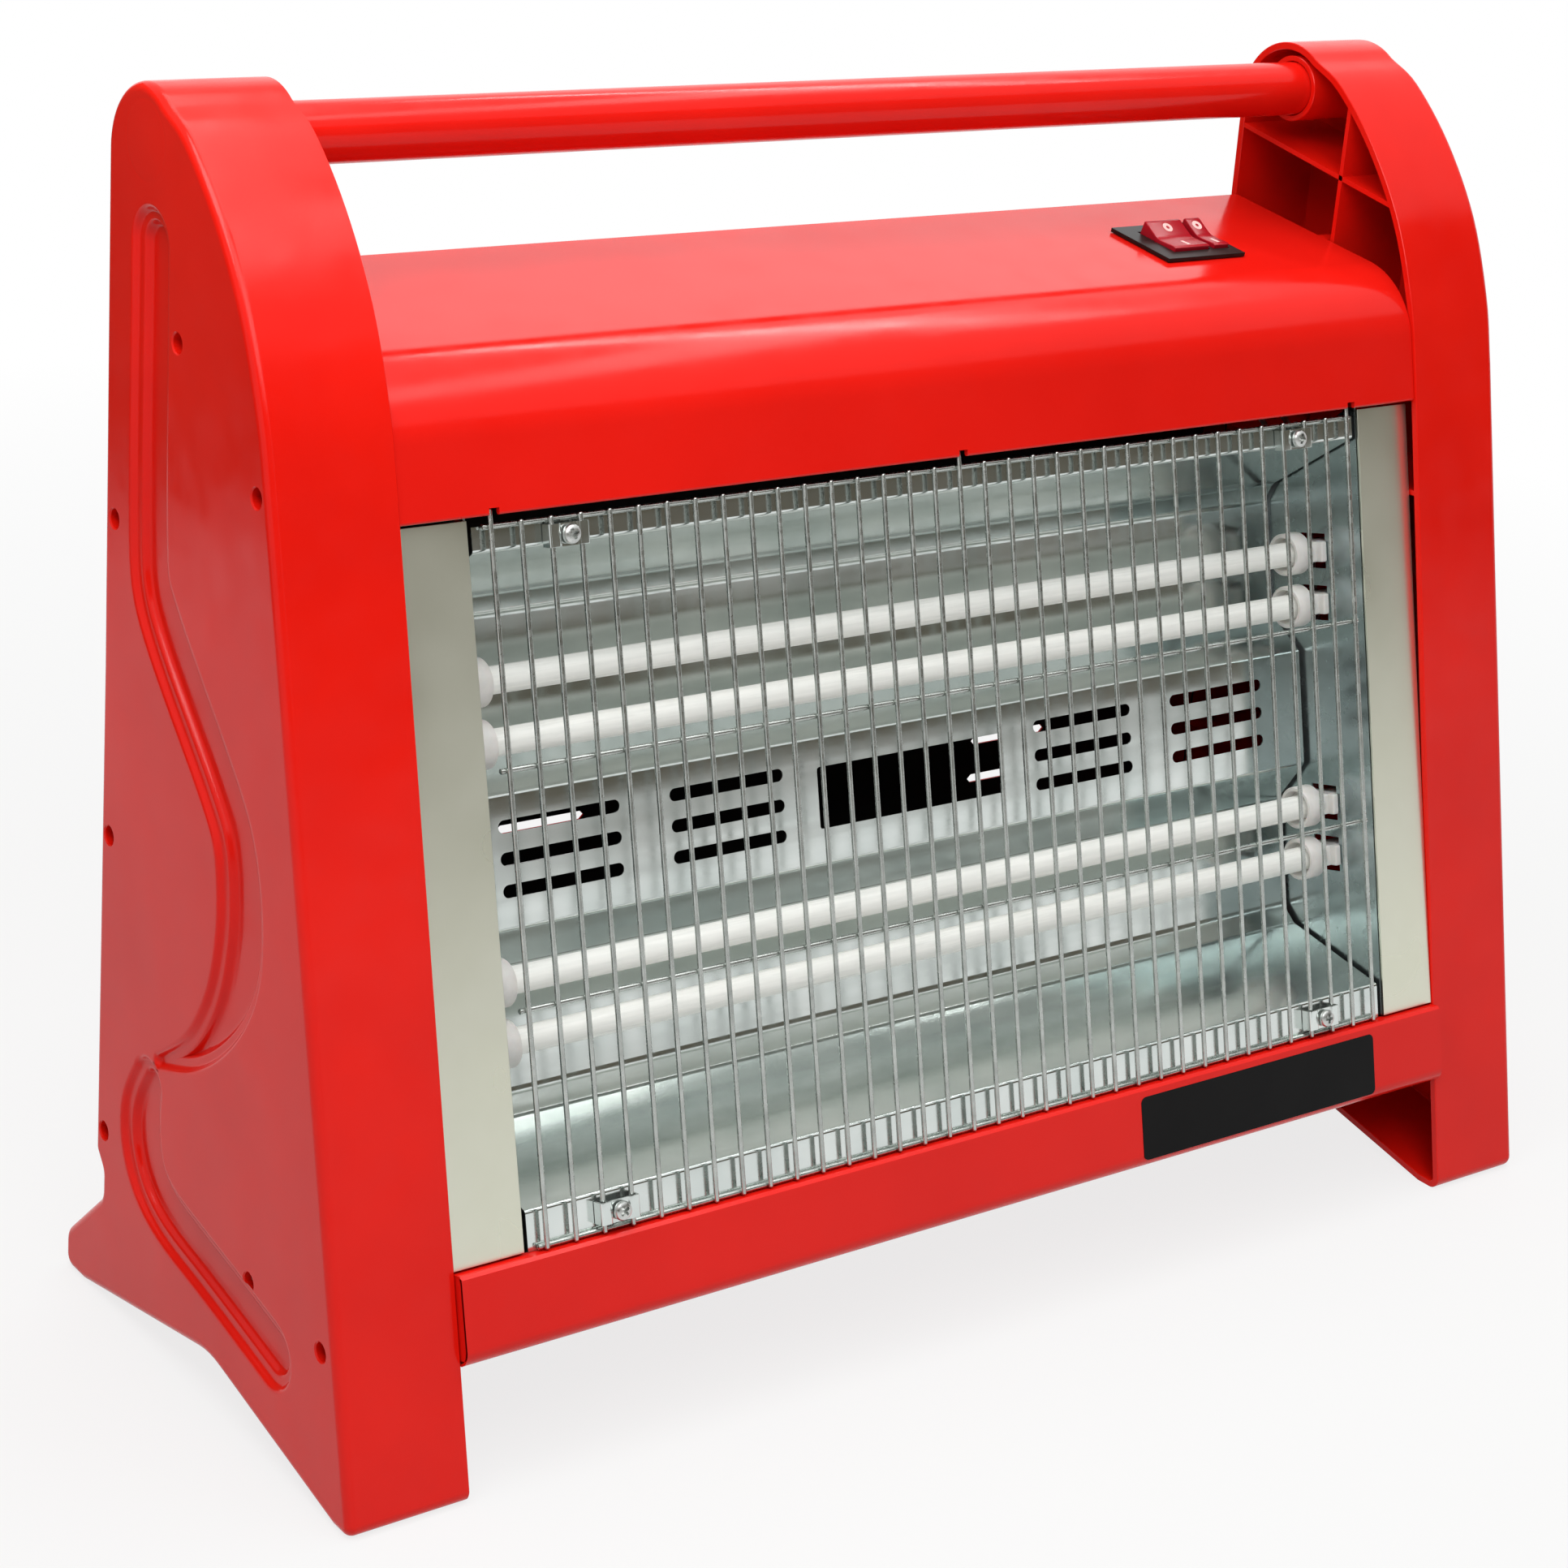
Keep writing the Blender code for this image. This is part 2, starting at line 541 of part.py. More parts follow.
def side_panel(side, name, material, root, shared):
    """A shell with a rolled outer edge, ribs and screw bosses, and the S-shaped groove."""
    outline = panel_outline()
    inner = offset(outline, PANEL_WALL)
    floor_x = PANEL_OUT - PANEL_WALL
    loops = [(PANEL_OUT, offset(outline, PANEL_CREASE))]
    for angle in (math.pi / 4, math.pi / 2):
        inset = PANEL_CREASE * (1 - math.sin(angle))
        loops.append((PANEL_OUT - PANEL_CREASE * (1 - math.cos(angle)), offset(outline, inset)))
    loops.append((PANEL_IN, outline))
    loops.append((PANEL_IN, inner))
    loops.append((floor_x, inner))
    panel = solid(name, loft([[(side * x, y, z) for y, z in loop] for x, loop in loops]),
                  material, root)

    into_floor = floor_x + PANEL_WALL / 2
    rib_edge = PANEL_IN + RIB_SET_BACK
    half_rib = RIB_THICKNESS / 2
    wall_middle = PANEL_WALL / 2

    def helper(label, shape, operation):
        boolean(panel, cutter(f"{name}_{label}", shape, root), operation)

    backing_x = PANEL_OUT - GROOVE_DEPTH - GROOVE_BACKING
    for label, line in groove_lines():
        helper(f"{label}_groove_backing", groove_band(line, 2 * GROOVE_BACKING, side * backing_x,
                                                      side * into_floor), "UNION")
    top = outline_top(outline, UPRIGHT_RIB_Y - half_rib) - wall_middle
    helper("upright_rib", box(side * rib_edge, side * into_floor, UPRIGHT_RIB_Y - half_rib,
                              UPRIGHT_RIB_Y + half_rib, ARCH_HEIGHT - 2 * MM, top), "UNION")
    high = PANEL_HEIGHT - CROSS_RIB_BELOW_TOP
    back = outline_reach(outline, high)[1] - wall_middle
    low = high - CROSS_RIB_DROP
    front = outline_reach(outline, low - half_rib)[0] + wall_middle
    helper("cross_rib", slab([(back, high - half_rib), (back, high + half_rib),
                              (front, low + half_rib), (front, low - half_rib)],
                             side * (rib_edge + 0.1 * MM), side * into_floor), "UNION")
    for k, height in enumerate(LOWER_RIB_HEIGHTS):
        front, back = outline_reach(outline, height)
        helper(f"lower_rib_{k + 1}", box(side * (rib_edge + 0.1 * MM), side * into_floor,
                                         front + wall_middle, back - wall_middle, height - half_rib,
                                         height + half_rib), "UNION")
    helper("handle_boss", turned([(side * (PANEL_IN + FIT), HANDLE_BOSS_RADIUS),
                                  (side * into_floor, HANDLE_BOSS_RADIUS)], 16, HANDLE_Y, HANDLE_Z),
           "UNION")
    for k, (y, z) in enumerate(PANEL_SCREWS):
        helper(f"boss_{k + 1}", turned([(side * (PANEL_IN + FIT), BOSS_RADIUS),
                                        (side * into_floor, BOSS_RADIUS)], 8, y * MM, z * MM), "UNION")

    for label, line in groove_lines():
        helper(f"{label}_groove", groove_band(line, 0, side * (PANEL_OUT - GROOVE_STEP_DEPTH),
                                              side * (PANEL_OUT + MM)), "DIFFERENCE")
        helper(f"{label}_groove_bed", groove_band(line, -2 * GROOVE_STEP_WIDTH,
                                                  side * (PANEL_OUT - GROOVE_DEPTH),
                                                  side * (PANEL_OUT + MM)), "DIFFERENCE")
    seat = PANEL_IN + HANDLE_SEAT_DEPTH
    helper("handle_bore", turned([(side * (PANEL_IN - MM), HANDLE_RADIUS + FIT),
                                  (side * seat, HANDLE_RADIUS + FIT), (side * seat, HANDLE_BOSS_BORE),
                                  (side * floor_x, HANDLE_BOSS_BORE)], 16, HANDLE_Y, HANDLE_Z),
           "DIFFERENCE")
    for k, (y, z) in enumerate(PANEL_SCREWS):
        helper(f"recess_{k + 1}", turned([(side * (PANEL_IN + BOSS_FLOOR), RECESS_RADIUS),
                                          (side * (PANEL_OUT + MM), RECESS_RADIUS)], 8, y * MM, z * MM),
               "DIFFERENCE")
        boolean(panel, shared[side][k])
    smooth(panel)
    return panel


def screw_holes(root):
    """One hole along X for each panel screw, cut from the panel and from the sheet behind it."""
    holes = {}
    for side in (-1, 1):
        holes[side] = []
        for k, (y, z) in enumerate(PANEL_SCREWS):
            shape = turned([(side * (BOX_END - 5 * MM), SCREW_RADIUS + SCREW_CLEARANCE),
                            (side * (PANEL_IN + BOSS_FLOOR + MM), SCREW_RADIUS + SCREW_CLEARANCE)], 6,
                           y * MM, z * MM)
            label = "left" if side < 0 else "right"
            holes[side].append(cutter(f"{label}_screw_hole_{k + 1}", shape, root))
    return holes


def panel_screws(material, root):
    for side, label in ((-1, "left"), (1, "right")):
        under_head = PANEL_IN + BOSS_FLOOR + FIT
        for k, (y, z) in enumerate(PANEL_SCREWS):
            shape = turned([(side * (under_head + SCREW_HEAD_HEIGHT), SCREW_HEAD_RADIUS * 0.8),
                            (side * (under_head + SCREW_HEAD_HEIGHT / 2), SCREW_HEAD_RADIUS),
                            (side * under_head, SCREW_HEAD_RADIUS),
                            (side * under_head, SCREW_RADIUS),
                            (side * (under_head - SCREW_LENGTH), SCREW_RADIUS)], 6, y * MM, z * MM)
            smooth(solid(f"{label}_panel_screw_{k + 1}", shape, material, root))


def handle(material, root):
    end = PANEL_IN + HANDLE_SEAT_DEPTH - FIT
    bore = HANDLE_RADIUS - HANDLE_WALL
    tube = turned_tube([(-end, HANDLE_RADIUS), (end, HANDLE_RADIUS), (end, bore), (-end, bore)], 16,
                       HANDLE_Y, HANDLE_Z)
    smooth(solid("handle_tube", tube, material, root))


def end_plates(target, outline, root, outer, thickness=SHEET):
    """Joins a flange to each end of a folded sheet."""
    for side, label in ((-1, "left"), (1, "right")):
        shape = slab(outline, side * outer, side * (outer - thickness))
        boolean(target, cutter(f"{target.name}_{label}_flange", shape, root), "UNION")


def cover_fold():
    """The cover's outer line from its back flange over the top to the front lip."""
    back = PANEL_BACK_Y - FIT
    rise = COVER_BACK_Z - COVER_SLOPE * back
    shift = BOX_PROUD / LEAN_COS + FRONT_FOOT_Z * LEAN_TAN
    corner_y = (LEAN_TAN * rise - shift) / (1 - LEAN_TAN * COVER_SLOPE)
    corner_z = rise + COVER_SLOPE * corner_y
    lip = front_line(-BOX_PROUD, WIRE_TOP + LIP_PAST_WIRES)
    line = rounded([(back, COVER_BACK_Z - BACK_FLANGE, 0, 0), (back, COVER_BACK_Z, 2 * MM, 2),
                    (corner_y, corner_z, COVER_RADIUS, 8), (*lip, 0, 0)])
    return line


def top_cover(material, root, holes):
    line = cover_fold()
    hem_start = Vector(line[-1]) + Vector((LEAN_SIN, LEAN_COS)) * HEM_LENGTH
    inside = offset(line, SHEET, closed=False)
    hem_side = Vector((LEAN_COS, -LEAN_SIN))
    hem = [tuple(hem_start + hem_side * SHEET), tuple(hem_start + hem_side * HEM_THICKNESS),
           tuple(Vector(line[-1]) + hem_side * HEM_THICKNESS)]
    outline = line + hem[::-1] + inside[:-1][::-1]
    cover = solid("top_cover", slab(outline, -BOX_END, BOX_END), material, root)
    rim = offset(line[1:-1], END_FLANGE_INSET, closed=False)
    under = offset(line[1:-1], END_FLANGE, closed=False)
    flange = [(line[0][0] - END_FLANGE_INSET, line[0][1] + MM), *rim[1:], under[-1], under[-4], under[-7],
              (line[0][0] - END_FLANGE, under[1][1])]
    end_plates(cover, flange, root, BOX_END - 2 * END_FLANGE_INSET)
    for side in (-1, 1):
        for k in (0, 1):
            boolean(cover, holes[side][k])
    lip_y, lip_z = line[-1]
    for k, x in enumerate((-HALF_WIRES * WIRE_PITCH, 0.0, HALF_WIRES * WIRE_PITCH)):
        shape = box(x - NOTCH_WIDTH / 2, x + NOTCH_WIDTH / 2, lip_y - 2 * MM, lip_y + 4 * MM,
                    lip_z - MM, lip_z + NOTCH_HEIGHT)
        boolean(cover, cutter(f"lip_notch_{k + 1}", shape, root))
    smooth(cover)
    return cover


def back_cover(material, root, holes):
    outer_y = PANEL_BACK_Y - FIT - SHEET - FIT
    half = BOX_END - 2 * END_FLANGE_INSET - SHEET - FIT
    bottom = BASE_Z + SHEET + FIT
    top = COVER_BACK_Z - 2 * SHEET - COVER_SLOPE * BACK_FLANGE
    line = rounded([(outer_y - BACK_FLANGE, bottom, 0, 0), (outer_y, bottom, 2 * MM, 2),
                    (outer_y, top, 2 * MM, 2), (outer_y - BACK_FLANGE, top, 0, 0)])
    back = solid("back_cover", folded(line, SHEET, half), material, root)
    low, high = bottom + 4 * MM, top - 4 * MM
    flange = [(outer_y - END_FLANGE, low), (outer_y - END_FLANGE_INSET, low),
              (outer_y - END_FLANGE_INSET, high), (outer_y - END_FLANGE, high)]
    end_plates(back, flange, root, half - END_FLANGE_INSET)
    for side in (-1, 1):
        for k in (2, 3, 4):
            boolean(back, holes[side][k])
    slots = []
    for row in range(VENT_ROWS):
        for x in VENT_COLUMNS:
            slots.append(slot_along_y(x, VENT_FIRST_Z + row * VENT_PITCH, VENT_LENGTH, VENT_HEIGHT,
                                      outer_y - 3 * MM, outer_y + 2 * MM))
    boolean(back, cutter("vent_slots", merge(*slots), root))
    hole = loft([[(BUSHING_X + x, y, BUSHING_Z + z) for x, z in circle(BUSHING_RADIUS + FIT, 16)]
                 for y in (outer_y - 3 * MM, outer_y + 2 * MM)])
    boolean(back, cutter("bushing_hole", hole, root))
    return outer_y


def slot_along_y(x, z, length, height, y0, y1, steps=2):
    """A slot with round ends, as a cutter that runs along Y."""
    radius = height / 2
    reach = length / 2 - radius
    outline = []
    for end, start in ((1, -math.pi / 2), (-1, math.pi / 2)):
        for k in range(steps + 1):
            angle = start + math.pi * k / steps
            outline.append((x + end * reach + radius * math.cos(angle), z + radius * math.sin(angle)))
    return loft([[(px, y, pz) for px, pz in outline] for y in (y0, y1)])


def base_pan(material, root, holes):
    """The red fascia under the grille, bent on into the floor and its back flange."""
    back = PANEL_BACK_Y - FIT
    bottom_front = (proud_y(BASE_Z), BASE_Z)
    start = front_line(FASCIA_RETURN - BOX_PROUD, FASCIA_TOP)
    corner = front_line(-BOX_PROUD, FASCIA_TOP)
    line = rounded([(*start, 0, 0), (*corner, 1.2 * MM, 1), (*bottom_front, BASE_RADIUS, 4),
                    (back, BASE_Z, 2 * MM, 2), (back, BASE_Z + END_FLANGE, 0, 0)])
    base = solid("base_pan", folded(line, SHEET, BOX_END), material, root)
    inner = front_line(END_FLANGE_INSET - BOX_PROUD, FASCIA_TOP - 3 * MM)
    low = (proud_y(BASE_Z + BASE_RADIUS) + END_FLANGE_INSET, BASE_Z + BASE_RADIUS)
    rise = BASE_Z + BASE_FLANGE
    flange = [inner, low, (low[0] + BASE_RADIUS * 0.9, BASE_Z + END_FLANGE_INSET),
              (back - END_FLANGE_INSET, BASE_Z + END_FLANGE_INSET),
              (back - END_FLANGE_INSET, BASE_Z + END_FLANGE - MM),
              (back - 2 * END_FLANGE, BASE_Z + END_FLANGE), (back - 6 * END_FLANGE, rise),
              (inner[0] + 4 * MM, rise)]
    end_plates(base, flange, root, BOX_END - 2 * END_FLANGE_INSET)
    for side in (-1, 1):
        for k in (5, 6):
            boolean(base, holes[side][k])
    smooth(base)


def bushing(material, root, outer_y):
    """A round bushing through the back, with a bore for the lead."""
    face = outer_y + FIT
    profile = [(face - BUSHING_LENGTH, BUSHING_BORE), (face - BUSHING_LENGTH, BUSHING_RADIUS),
               (face, BUSHING_RADIUS), (face, BUSHING_FLANGE), (face + 2.5 * MM, BUSHING_FLANGE),
               (face + 4 * MM, BUSHING_RADIUS), (face + 4 * MM, BUSHING_BORE)]
    shape = turned_tube(profile, 16)
    bmesh.ops.rotate(shape, matrix=Matrix.Rotation(math.pi / 2, 3, "Z"), verts=shape.verts)
    bmesh.ops.translate(shape, vec=(BUSHING_X, 0, BUSHING_Z), verts=shape.verts)
    smooth(solid("cord_bushing", shape, material, root))


def reflector_fold():
    """Half of the pressed line by its (n, s) corners, mirrored about its middle."""
    half = [(RIDGE_DEPTH, RIDGE_TOP), (TROUGH_DEPTH, RIDGE_FOOT), (TROUGH_DEPTH, TROUGH_TOP),
            (TROUGH_CORNER_DEPTH, TROUGH_CORNER), (FRAME_FLANGE_N, FLANGE_BEND)]
    low = [(n, REFLECTOR_MIDDLE - s) for n, s in half[::-1]]
    high = [(n, REFLECTOR_MIDDLE + s) for n, s in half]
    return [(FRAME_FLANGE_N, REFLECTOR_MIDDLE - FLANGE_FOOT), *low, *high,
            (FRAME_FLANGE_N, REFLECTOR_MIDDLE + FLANGE_END)]


def reflector(material, frame, clip_cutter):
    sheet = solid("reflector", folded(reflector_fold(), -REFLECTOR_SHEET, REFLECTOR_HALF_LENGTH),
                  material, frame)
    around = (RIDGE_DEPTH - 3 * MM, RIDGE_DEPTH + 4 * MM)
    cuts = [box(-WINDOW_LENGTH / 2, WINDOW_LENGTH / 2, *around, SLOT_MIDDLE - WINDOW_HEIGHT / 2,
                SLOT_MIDDLE + WINDOW_HEIGHT / 2)]
    for x in SLOT_COLUMNS:
        for row in (-1, 0, 1):
            cuts.append(slot_along_y(x, SLOT_MIDDLE + row * SLOT_PITCH, SLOT_LENGTH, SLOT_HEIGHT,
                                     *around))
    boolean(sheet, cutter("reflector_slots", merge(*cuts), frame))
    boolean(sheet, clip_cutter)
    smooth(sheet, 20)


def cheeks(material, frame):
    """A plate at each end of the reflector, with an oblong hole for each ceramic neck."""
    inner = REFLECTOR_HALF_LENGTH + FIT
    outer = inner + CHEEK_SHEET
    low = REFLECTOR_MIDDLE - FLANGE_FOOT + 2 * FIT
    high = REFLECTOR_MIDDLE + FLANGE_END
    deep = TROUGH_DEPTH + CHEEK_MARGIN
    reach = TROUGH_CORNER + 2 * CHEEK_MARGIN
    outline = [(FRAME_FLANGE_N, low), (FRAME_FLANGE_N + 4 * MM, low),
               (TROUGH_CORNER_DEPTH + CHEEK_MARGIN, REFLECTOR_MIDDLE - reach),
               (deep, REFLECTOR_MIDDLE - TROUGH_TOP), (deep, REFLECTOR_MIDDLE + TROUGH_TOP),
               (TROUGH_CORNER_DEPTH + CHEEK_MARGIN, REFLECTOR_MIDDLE + reach),
               (FRAME_FLANGE_N + 4 * MM, high), (FRAME_FLANGE_N, high)]
    for side, label in ((-1, "left"), (1, "right")):
        cheek = solid(f"{label}_cheek", slab(outline, side * inner, side * outer), material, frame)
        flange = box(side * (inner + END_FLANGE_INSET), side * (outer + CHEEK_FLANGE),
                     FRAME_FLANGE_N + 0.1 * MM, FRAME_FLANGE_N + 0.1 * MM + CHEEK_SHEET, low + MM,
                     high - MM)
        boolean(cheek, cutter(f"{label}_cheek_flange", flange, frame), "UNION")
        holes = []
        for lift in TUBE_OFFSETS:
            middle = TUBE_MIDDLE + lift
            holes.append(box(side * (inner - MM), side * (outer + MM), TUBE_DEPTH - HOLE_WIDTH / 2,
                             TUBE_DEPTH + HOLE_WIDTH / 2, middle - HOLE_HEIGHT / 2,
                             middle + HOLE_HEIGHT / 2))
        boolean(cheek, cutter(f"{label}_cheek_holes", merge(*holes), frame))


def strips(material, frame):
    """The cream strip beside the grille, with a return along the side panel."""
    inner = REFLECTOR_HALF_LENGTH + 2 * FIT
    top = WIRE_TOP + STRIP_PAST_WIRES
    for side, label in ((-1, "left"), (1, "right")):
        strip = solid(f"{label}_strip", box(side * inner, side * BOX_END, STRIP_FRONT,
                                            STRIP_FRONT + SHEET, STRIP_BOTTOM, top),
                      material, frame)
        edge = box(side * (BOX_END - SHEET - END_FLANGE_INSET), side * (BOX_END - END_FLANGE_INSET),
                   STRIP_FRONT + END_FLANGE_INSET, STRIP_FRONT + STRIP_RETURN,
                   STRIP_BOTTOM + END_FLANGE, top - END_FLANGE)
        boolean(strip, cutter(f"{label}_strip_return", edge, frame), "UNION")


def heating_elements(quartz, wire, ceramic, frame):
    """Each quartz tube with its coil, and a ceramic holder on each end."""
    bore = TUBE_RADIUS - TUBE_WALL
    for k, lift in enumerate(TUBE_OFFSETS):
        z = TUBE_MIDDLE + lift
        y = TUBE_DEPTH
        end = TUBE_HALF_LENGTH
        shape = turned_tube([(-end, TUBE_RADIUS), (end, TUBE_RADIUS), (end, bore), (-end, bore)], 12,
                            y, z)
        smooth(solid(f"quartz_tube_{k + 1}", shape, quartz, frame))
        coil_end = end - 4 * MM
        tail_end = NECK_END + 3.5 * MM
        shape = turned([(-tail_end, TAIL_RADIUS), (-coil_end, TAIL_RADIUS), (-coil_end, COIL_RADIUS),
                        (coil_end, COIL_RADIUS), (coil_end, TAIL_RADIUS), (tail_end, TAIL_RADIUS)], 6,
                       y, z)
        smooth(solid(f"heating_coil_{k + 1}", shape, wire, frame))
        for side, label in ((-1, "left"), (1, "right")):
            holder(f"{label}_holder_{k + 1}", side, y, z, ceramic, frame)


def holder(name, side, y, z, material, frame):
    """A ceramic ring whose flat neck passes the cheek between two lugs."""
    socket = TUBE_RADIUS + FIT
    ring = solid(name, turned_tube([(side * RING_START, RING_RADIUS), (side * RING_END, RING_RADIUS),
                                    (side * RING_END, socket - MM), (side * (RING_END - MM), socket - MM),
                                    (side * (RING_END - MM), socket), (side * RING_START, socket)],
                                   12, y, z), material, frame)
    cheek_in = REFLECTOR_HALF_LENGTH + FIT
    cheek_out = cheek_in + CHEEK_SHEET
    steps = [(RING_END - 0.4 * MM, NECK_WIDTH), (cheek_in - FIT - LUG_LENGTH, NECK_WIDTH),
             (cheek_in - FIT - LUG_LENGTH, LUG_WIDTH), (cheek_in - FIT, LUG_WIDTH),
             (cheek_in - FIT, NECK_WIDTH), (cheek_out + FIT, NECK_WIDTH),
             (cheek_out + FIT, LUG_WIDTH), (cheek_out + FIT + LUG_LENGTH, LUG_WIDTH),
             (cheek_out + FIT + LUG_LENGTH, NECK_WIDTH), (NECK_END, NECK_WIDTH)]
    outline = [(x, y - w / 2) for x, w in steps] + [(x, y + w / 2) for x, w in steps[::-1]]
    neck = loft([[(side * px, py, pz) for px, py in outline]
                 for pz in (z - NECK_HEIGHT / 2, z + NECK_HEIGHT / 2)])
    boolean(ring, cutter(f"{name}_neck", neck, frame), "UNION")
    hole = turned([(side * (RING_START - MM), TAIL_RADIUS + FIT),
                   (side * (NECK_END + MM), TAIL_RADIUS + FIT)], 6, y, z)
    boolean(ring, cutter(f"{name}_bore", hole, frame))
    smooth(ring)


def bus_bars(material, frame):
    """Brass links over the coil tails: one on the left for all four, one a pair on the right."""
    start = NECK_END + FIT
    for name, side, members in (("left_bus_bar", -1, (0, 3)), ("upper_bus_bar", 1, (0, 1)),
                                ("lower_bus_bar", 1, (2, 3))):
        high = TUBE_MIDDLE + TUBE_OFFSETS[members[0]] + BUS_BAR_MARGIN
        low = TUBE_MIDDLE + TUBE_OFFSETS[members[1]] - BUS_BAR_MARGIN
        bar = solid(name, box(side * start, side * (start + BUS_BAR_THICKNESS),
                              TUBE_DEPTH - BUS_BAR_WIDTH / 2, TUBE_DEPTH + BUS_BAR_WIDTH / 2, low, high),
                    material, frame)
        holes = [turned([(side * (start - MM), TAIL_RADIUS + FIT),
                         (side * (start + BUS_BAR_THICKNESS + MM), TAIL_RADIUS + FIT)], 6, TUBE_DEPTH,
                        TUBE_MIDDLE + lift)
                 for lift in TUBE_OFFSETS[members[0]:members[1] + 1]]
        boolean(bar, cutter(f"{name}_holes", merge(*holes), frame))


def grille(material, frame):
    """Upright wires welded to the front of four cross bars, as one body."""
    reach = HALF_WIRES * WIRE_PITCH + BAR_OVERHANG
    bars = [turned([(-reach, BAR_RADIUS), (reach, BAR_RADIUS)], 6, BAR_N, BAR_FIRST + k * BAR_SPACING)
            for k in range(BAR_COUNT)]
    bottom = BAR_FIRST - WIRE_OVERHANG + FIT
    wires = []
    for k in range(-HALF_WIRES, HALF_WIRES + 1):
        end = WIRE_TOP + (HOOK_LENGTH if k in (-HALF_WIRES, 0, HALF_WIRES) else 0)
        ring = circle(WIRE_RADIUS, 6)
        wires.append(loft([[(k * WIRE_PITCH + x, y, z) for x, y in ring] for z in (bottom, end)]))
    net = solid("grille", merge(*bars), material, frame)
    boolean(net, cutter("grille_wires", merge(*wires), frame), "UNION")


def clip_places():
    return [(x, s) for s in (CLIP_HIGH_S, CLIP_LOW_S) for x in (-CLIP_X, CLIP_X)]


def clips(material, screw_material, frame, clip_cutter):
    """Small saddles over two wires each, with a pan-head screw through the flange."""
    outer = -WIRE_RADIUS - FIT - CLIP_THICKNESS
    inner = outer + CLIP_THICKNESS
    half = CLIP_WIDTH / 2
    leg_end = FRAME_FLANGE_N - FIT
    saddle = [(-half, outer), (half, outer), (half, leg_end), (half - CLIP_THICKNESS, leg_end),
              (half - CLIP_THICKNESS, inner), (CLIP_THICKNESS - half, inner),
              (CLIP_THICKNESS - half, leg_end), (-half, leg_end)]
    for k, (x, s) in enumerate(clip_places()):
        shape = loft([[(x + px, n, z) for px, n in saddle]
                      for z in (s - CLIP_HEIGHT / 2, s + CLIP_HEIGHT / 2)])
        clip = solid(f"grille_clip_{k + 1}", shape, material, frame)
        boolean(clip, clip_cutter)
        head = outer - FIT
        profile = [(head - CLIP_SCREW_HEAD_HEIGHT, CLIP_SCREW_HEAD * 0.6),
                   (head - CLIP_SCREW_HEAD_HEIGHT / 2, CLIP_SCREW_HEAD), (head, CLIP_SCREW_HEAD),
                   (head, CLIP_SCREW_RADIUS), (CLIP_SCREW_REACH, CLIP_SCREW_RADIUS)]
        shape = turned(profile, 8)
        bmesh.ops.rotate(shape, matrix=Matrix.Rotation(math.pi / 2, 3, "Z"), verts=shape.verts)
        bmesh.ops.translate(shape, vec=(x, 0, s), verts=shape.verts)
        smooth(solid(f"clip_screw_{k + 1}", shape, screw_material, frame))


def clip_holes(frame):
    shapes = []
    for x, s in clip_places():
        ring = circle(CLIP_SCREW_RADIUS + FIT, 8)
        shapes.append(loft([[(x + px, n, s + pz) for px, pz in ring]
                            for n in (-6 * MM, FRAME_FLANGE_N + 3 * MM)]))
    return cutter("clip_screw_holes", merge(*shapes), frame)


def cover_surface(y):
    """The height of the cover's sloping top at a depth."""
    return COVER_BACK_Z - COVER_SLOPE * (PANEL_BACK_Y - FIT - y)


